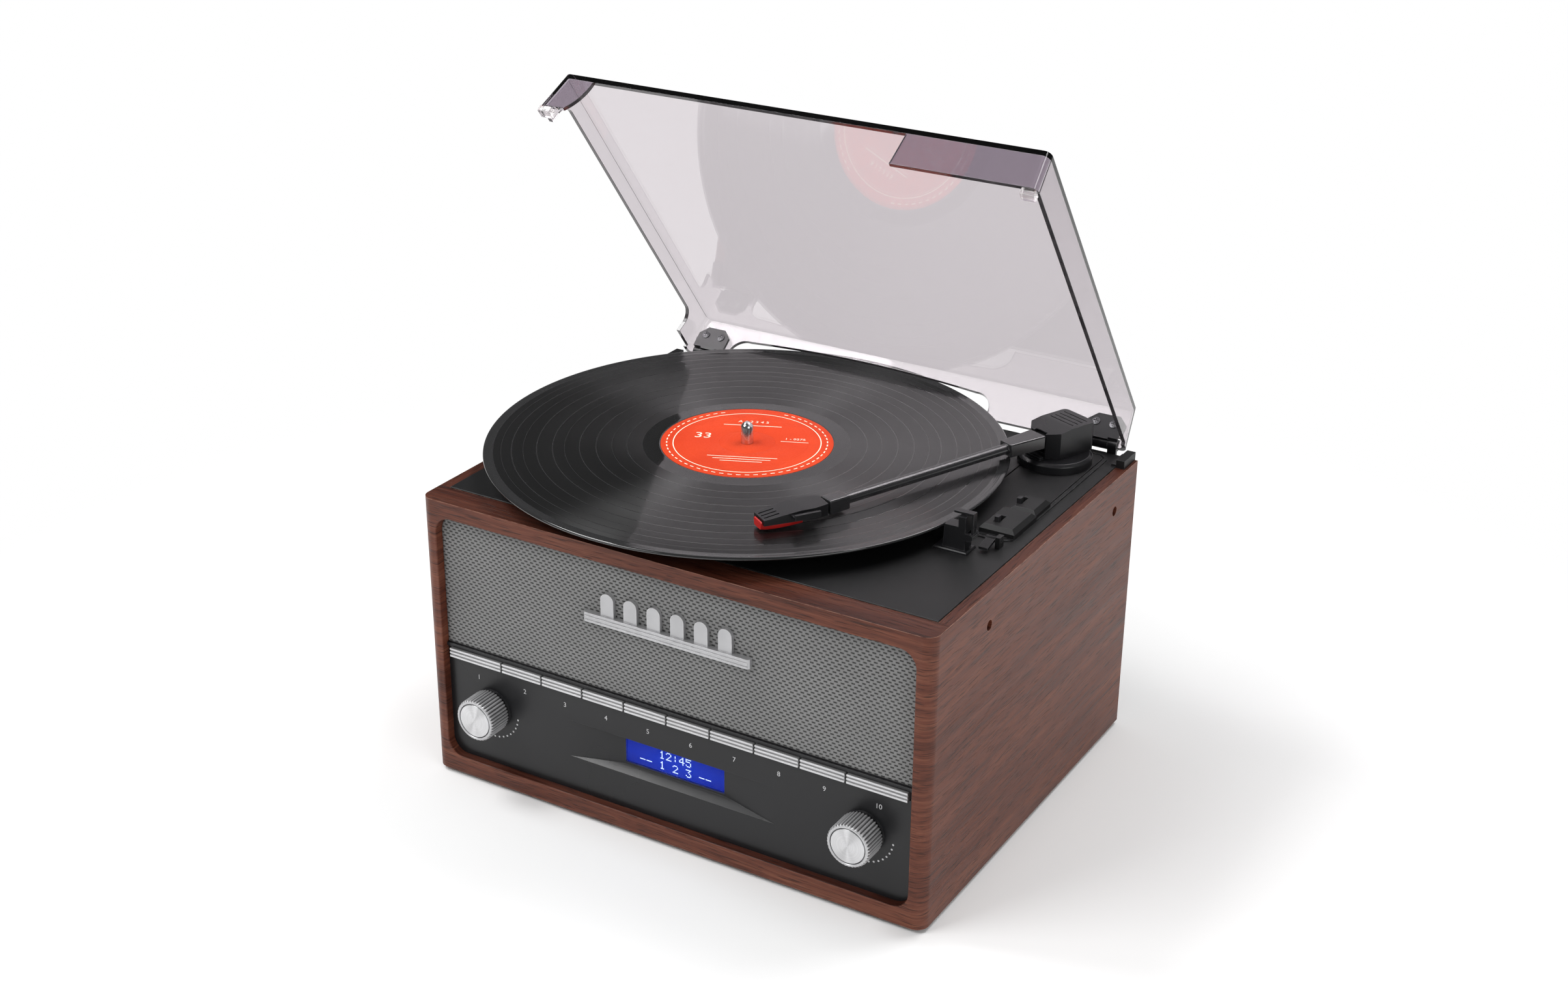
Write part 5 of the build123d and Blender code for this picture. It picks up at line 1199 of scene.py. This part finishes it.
def makeFasciaMarks():
    # Plain numbers under the buttons and an arc of dots below each knob.
    front = float(fasciaLow[1]) + 0.0014
    turn = np.linspace(0, 2 * math.pi, 12, endpoint=False)
    dot = np.stack([np.cos(turn), np.sin(turn)], -1) * scaleMarks["dot"]
    marks = []
    for index in range(1, 11):
        low, high = boxOf(f"button_{index}")
        marks.append(printedText(str(index), scaleMarks["number"], (float(low[0] + high[0]) / 2, front,
                                                                   float(low[2]) - scaleMarks["drop"]),
                                 (1, 0, 0), (0, 0, 1), f"mark{index}", thickness=0.00005))
    for node in ("volume_knob", "tuning_knob"):
        low, high = boxOf(node)
        x, z = float(low[0] + high[0]) / 2, float(low[2] + high[2]) / 2
        outlines = []
        for step in range(scaleMarks["dots"]):
            angle = math.radians(scaleMarks["first"] + scaleMarks["step"] * step)
            outlines.append(dot + np.array([math.cos(angle), math.sin(angle)]) * scaleMarks["reach"])
        marks.append(flatShapes(node + "Marks", outlines, (x, front, z), (1, 0, 0), (0, 0, 1), 0.00005))
    added(joinedPiece("fasciaMarks", marks), bodyOf["fascia"], whiteInk)


makeFasciaMarks()
print("display and marks made")


def crossHead(name, place, out, across, radius, height, crossWidth=0.0006, crossDepth=0.0005):
    # h(r, a) = height (1 - 0.35 (r / R)^2) - depth where |x| or |y| is under half the cross's width.
    out, across = Vector(out).normalized(), Vector(across).normalized()
    up = out.cross(across)
    share = np.concatenate([np.linspace(0, 0.62, 14), [0.66, 0.8, 0.92, 1.0]])
    angle = np.linspace(0, 2 * math.pi, 64, endpoint=False)
    grid, turn = np.meshgrid(share * radius, angle, indexing="ij")
    x, y = grid * np.cos(turn), grid * np.sin(turn)
    inside = (grid < 0.63 * radius) & ((np.abs(x) < crossWidth / 2) | (np.abs(y) < crossWidth / 2))
    h = height * (1 - 0.35 * (grid / radius) ** 2) - crossDepth * inside
    x = np.concatenate([x, x[-1:]])
    y = np.concatenate([y, y[-1:]])
    h = np.concatenate([h, np.zeros_like(h[-1:])])
    points = np.array(place) + x[..., None] * np.array(across) + y[..., None] * np.array(up) + h[..., None] * np.array(out)
    made = gridMesh(name, points, wrapColumns=True, outwards=False, sharpAngle=30)
    normal = made.data.polygons[0].normal
    if normal.dot(out) < 0:
        made.data.flip_normals()
    return made


hinge = {"y": 0.1315, "z": 0.1780, "open": -52.5}


def opened(y, z):
    # A point of the closed lid, turned about the hinge to where it stands open.
    angle = math.radians(hinge["open"])
    dy, dz = y - hinge["y"], z - hinge["z"]
    return (hinge["y"] + dy * math.cos(angle) - dz * math.sin(angle),
            hinge["z"] + dy * math.sin(angle) + dz * math.cos(angle))


def makeScrews():
    low, high = boxOf("cabinet_wrap")
    sides = []
    for side in (-1, 1):
        for y in (float(low[1]) + 0.0634, float(high[1]) - 0.0307):
            place = (side * (float(high[0]) - 0.0050), y, float(high[2]) - 0.0203)
            sides.append(crossHead("sideScrew", place, (side, 0, 0), (0, 1, 0), 0.0025, 0.0028))
    added(joinedPiece("sideScrews", sides), "cabinet", copper)
    plates, leaves = [], []
    for side in (-1, 1):
        middle = side * (float(high[0]) - 0.0250)
        for step in (-1, 1):
            x = middle + step * 0.0055
            plates.append(crossHead("hingeScrew", (x, float(high[1]) + 0.0020, float(high[2]) - 0.0110),
                                    (0, 1, 0), (1, 0, 0), 0.0026, 0.0010))
            y, z = opened(0.12600, 0.1880)
            leaves.append(crossHead("leafScrew", (x, y, z), (0, -math.cos(math.radians(52.5)), math.sin(math.radians(52.5))),
                                    (1, 0, 0), 0.0024, 0.0009))
    plateScrews = joinedPiece("hingePlateScrews", plates)
    stands(plateScrews, "screws", steel)
    added(joinedPiece("hingeLeafScrews", leaves), bodyOf["hinge_leaves"], darkScrew)


def makeFeet():
    low, high = boxOf("cabinet_wrap")
    footLow = float(boxOf("feet")[0][2])
    feet = []
    for x in (float(low[0]) + 0.026, float(high[0]) - 0.026):
        for y in (float(low[1]) + 0.026, float(high[1]) - 0.026):
            profile = [(0.0, footLow + 0.0006), (0.0050, footLow + 0.0006), (0.0056, footLow), (0.0080, footLow),
                       (0.0087, footLow + 0.0006), (0.0090, -0.0002), (0.0090, 0.0), (0.0, 0.0)]
            feet.append(turnedPiece("foot", profile, (x, y, 0), steps=48))
    stands(joinedPiece("rubberFeet", feet), "feet", rubber)


makeScrews()
makeFeet()
print("screws and feet made")


def makeLid():
    made = softened("lid", 0.0004, 2, 25, triangles=False)
    mesh = made.data
    mesh.materials.append(makeSmokedLid("smokedLid", lidPlastic["tint"]))
    mesh.materials.append(makeSmokedEdge())
    mesh.materials.append(makeSmokedLid("smokedLip", lidPlastic["lipTint"]))
    places = np.array([face.center for face in mesh.polygons])
    reach = np.hypot(places[:, 1] - hinge["y"], places[:, 2] - hinge["z"])
    lip = reach > reach.max() - lidPlastic["lipDepth"]
    for face, onLip in zip(mesh.polygons, lip.tolist()):
        start = face.center - face.normal * 0.00002
        hit, place, _, _ = made.ray_cast(start, -face.normal)
        thick = hit and (place - start).length > 0.0030
        face.material_index = 1 if thick else 2 if onLip else 0
    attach(made, bodyOf["lid"])
    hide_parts("lid")
    return made


makeLid()


def dressRest():
    looks = {
        "fibreboard": fibreboard, "back_board": hardboard, "black_satin": backPlastic, "black_gloss": glossPlastic,
        "bright_chrome": chrome, "black_rubber": rubber, "board_green": circuitBoard, "plain_steel": steel,
        "black_metal": steel, "copper_screw": copper, "platter_metal": platterAlloy, "red_stylus": redPlastic,
        "silver_controls": silver,
    }
    shown = []
    for node, made in frame["nodes"].items():
        if slotOf[node] in looks:
            made.data.materials.clear()
            made.data.materials.append(looks[slotOf[node]])
            shown.append(node)
    return shown


dressRest()
print("lid and inner parts dressed")


studio = {
    "floorSize": 14.0,
    "fill": 0.42,
    "gloss": 0.10,
    "fade": (0.30, 0.62),
    "lights": {
        "key": {"place": (-0.95, -1.25, 1.65), "size": (1.1, 0.9), "power": 15.0, "spread": 160},
        "fill": {"place": (1.9, -0.9, 1.0), "size": (1.2, 1.2), "power": 9.0, "spread": 160},
        "top": {"place": (0.5, 0.9, 1.9), "size": (1.0, 0.8), "power": 13.0, "spread": 160},
        "left": {"place": (-1.14, -0.23, 1.68), "size": (0.6, 0.6), "power": 11.0, "spread": 160},
    },
}


def makeFloor():
    # Away from the object the floor turns into even white: share = smoothstep of the distance.
    half = studio["floorSize"] / 2
    bottom = float(boxOf("feet")[0][2])
    mesh = bpy.data.meshes.new("floorSheet")
    mesh.from_pydata([(-half, -half, bottom), (half, -half, bottom), (half, half, bottom), (-half, half, bottom)], [],
                     [(0, 1, 2, 3)])
    material, tree, shader = newMaterial("paleFloor")
    cloud = put(tree, "TexNoise", {"Vector": objectPlace(tree), "Scale": 0.8, "Detail": 2.0}).outputs[0]
    colour = blended(tree, between(tree, cloud, 0.3, 0.7), (0.93, 0.93, 0.93), (0.95, 0.95, 0.95))
    setShader(tree, shader, Base_Color=colour, Roughness=0.9, Specular_IOR_Level=0.1)
    reach = put(tree, "VectorMath", {0: objectPlace(tree)}, operation="LENGTH").outputs["Value"]
    share = put(tree, "MapRange", {0: reach, 1: studio["fade"][0], 2: studio["fade"][1]}, interpolation_type="SMOOTHSTEP")
    ray = put(tree, "LightPath").outputs
    seen = sumUp(tree, "MAXIMUM", ray["Is Camera Ray"], ray["Is Transmission Ray"])
    white = put(tree, "Emission", {"Color": (1, 1, 1, 1), "Strength": 1.0})
    mixed = put(tree, "MixShader", {0: sumUp(tree, "MULTIPLY", share.outputs[0], seen), 1: shader.outputs[0],
                                    2: white.outputs[0]})
    output = next(node for node in tree.nodes if node.type == "OUTPUT_MATERIAL")
    tree.links.new(mixed.outputs[0], output.inputs["Surface"])
    mesh.materials.append(material)
    addObject("floorSheet", mesh)


def makeWorld():
    # Seen directly or through clear plastic the surroundings are white, and in reflections dim.
    world = bpy.data.worlds.new("studioWorld")
    world.use_nodes = True
    tree = world.node_tree
    output = next(node for node in tree.nodes if node.type == "OUTPUT_WORLD")
    fill = next(node for node in tree.nodes if node.type == "BACKGROUND")
    fill.inputs["Strength"].default_value = studio["fill"]
    fill.inputs["Color"].default_value = (1, 1, 1, 1)
    dim = put(tree, "Background", {"Color": (1, 1, 1, 1), "Strength": studio["gloss"]})
    white = put(tree, "Background", {"Color": (1, 1, 1, 1), "Strength": 1.0})
    ray = put(tree, "LightPath").outputs
    seen = sumUp(tree, "MAXIMUM", ray["Is Camera Ray"], ray["Is Transmission Ray"])
    soft = put(tree, "MixShader", {0: ray["Is Glossy Ray"], 1: fill.outputs[0], 2: dim.outputs[0]})
    mixed = put(tree, "MixShader", {0: seen, 1: soft.outputs[0], 2: white.outputs[0]})
    tree.links.new(mixed.outputs[0], output.inputs["Surface"])
    bpy.context.scene.world = world


def makeLights():
    target = Vector((0.0, 0.0, 0.12))
    for name, look in studio["lights"].items():
        data = bpy.data.lights.new(name, "AREA")
        data.shape = "RECTANGLE"
        data.size, data.size_y = look["size"]
        data.energy = look["power"]
        data.spread = math.radians(look["spread"])
        lamp = addObject(name + "Light", data)
        lamp.location = look["place"]
        lamp.rotation_euler = (target - lamp.location).to_track_quat("-Z", "Y").to_euler()


cameraView = {
    "place": (0.5802, -0.9837, 0.6859), "azimuth": 30.60, "elevation": 24.59, "roll": 0.50,
    "lens": 50.64, "sensor": 36.0,
}


def makeCamera():
    az, el, roll = (math.radians(cameraView[key]) for key in ("azimuth", "elevation", "roll"))
    back = Vector((math.sin(az) * math.cos(el), -math.cos(az) * math.cos(el), math.sin(el)))
    right = Vector((0, 0, 1)).cross(back).normalized()
    up = back.cross(right)
    right, up = math.cos(roll) * right + math.sin(roll) * up, math.cos(roll) * up - math.sin(roll) * right
    data = bpy.data.cameras.new("photoCamera")
    data.sensor_width = cameraView["sensor"]
    data.lens = cameraView["lens"]
    data.clip_start = 0.01
    data.clip_end = 60.0
    camera = addObject("photoCamera", data)
    turn = Matrix((right, up, back)).transposed().to_4x4()
    camera.matrix_world = Matrix.Translation(cameraView["place"]) @ turn
    bpy.context.scene.camera = camera


makeFloor()
makeWorld()
makeLights()
makeCamera()
bpy.context.scene.view_settings.view_transform = "Standard"
print("studio ready")
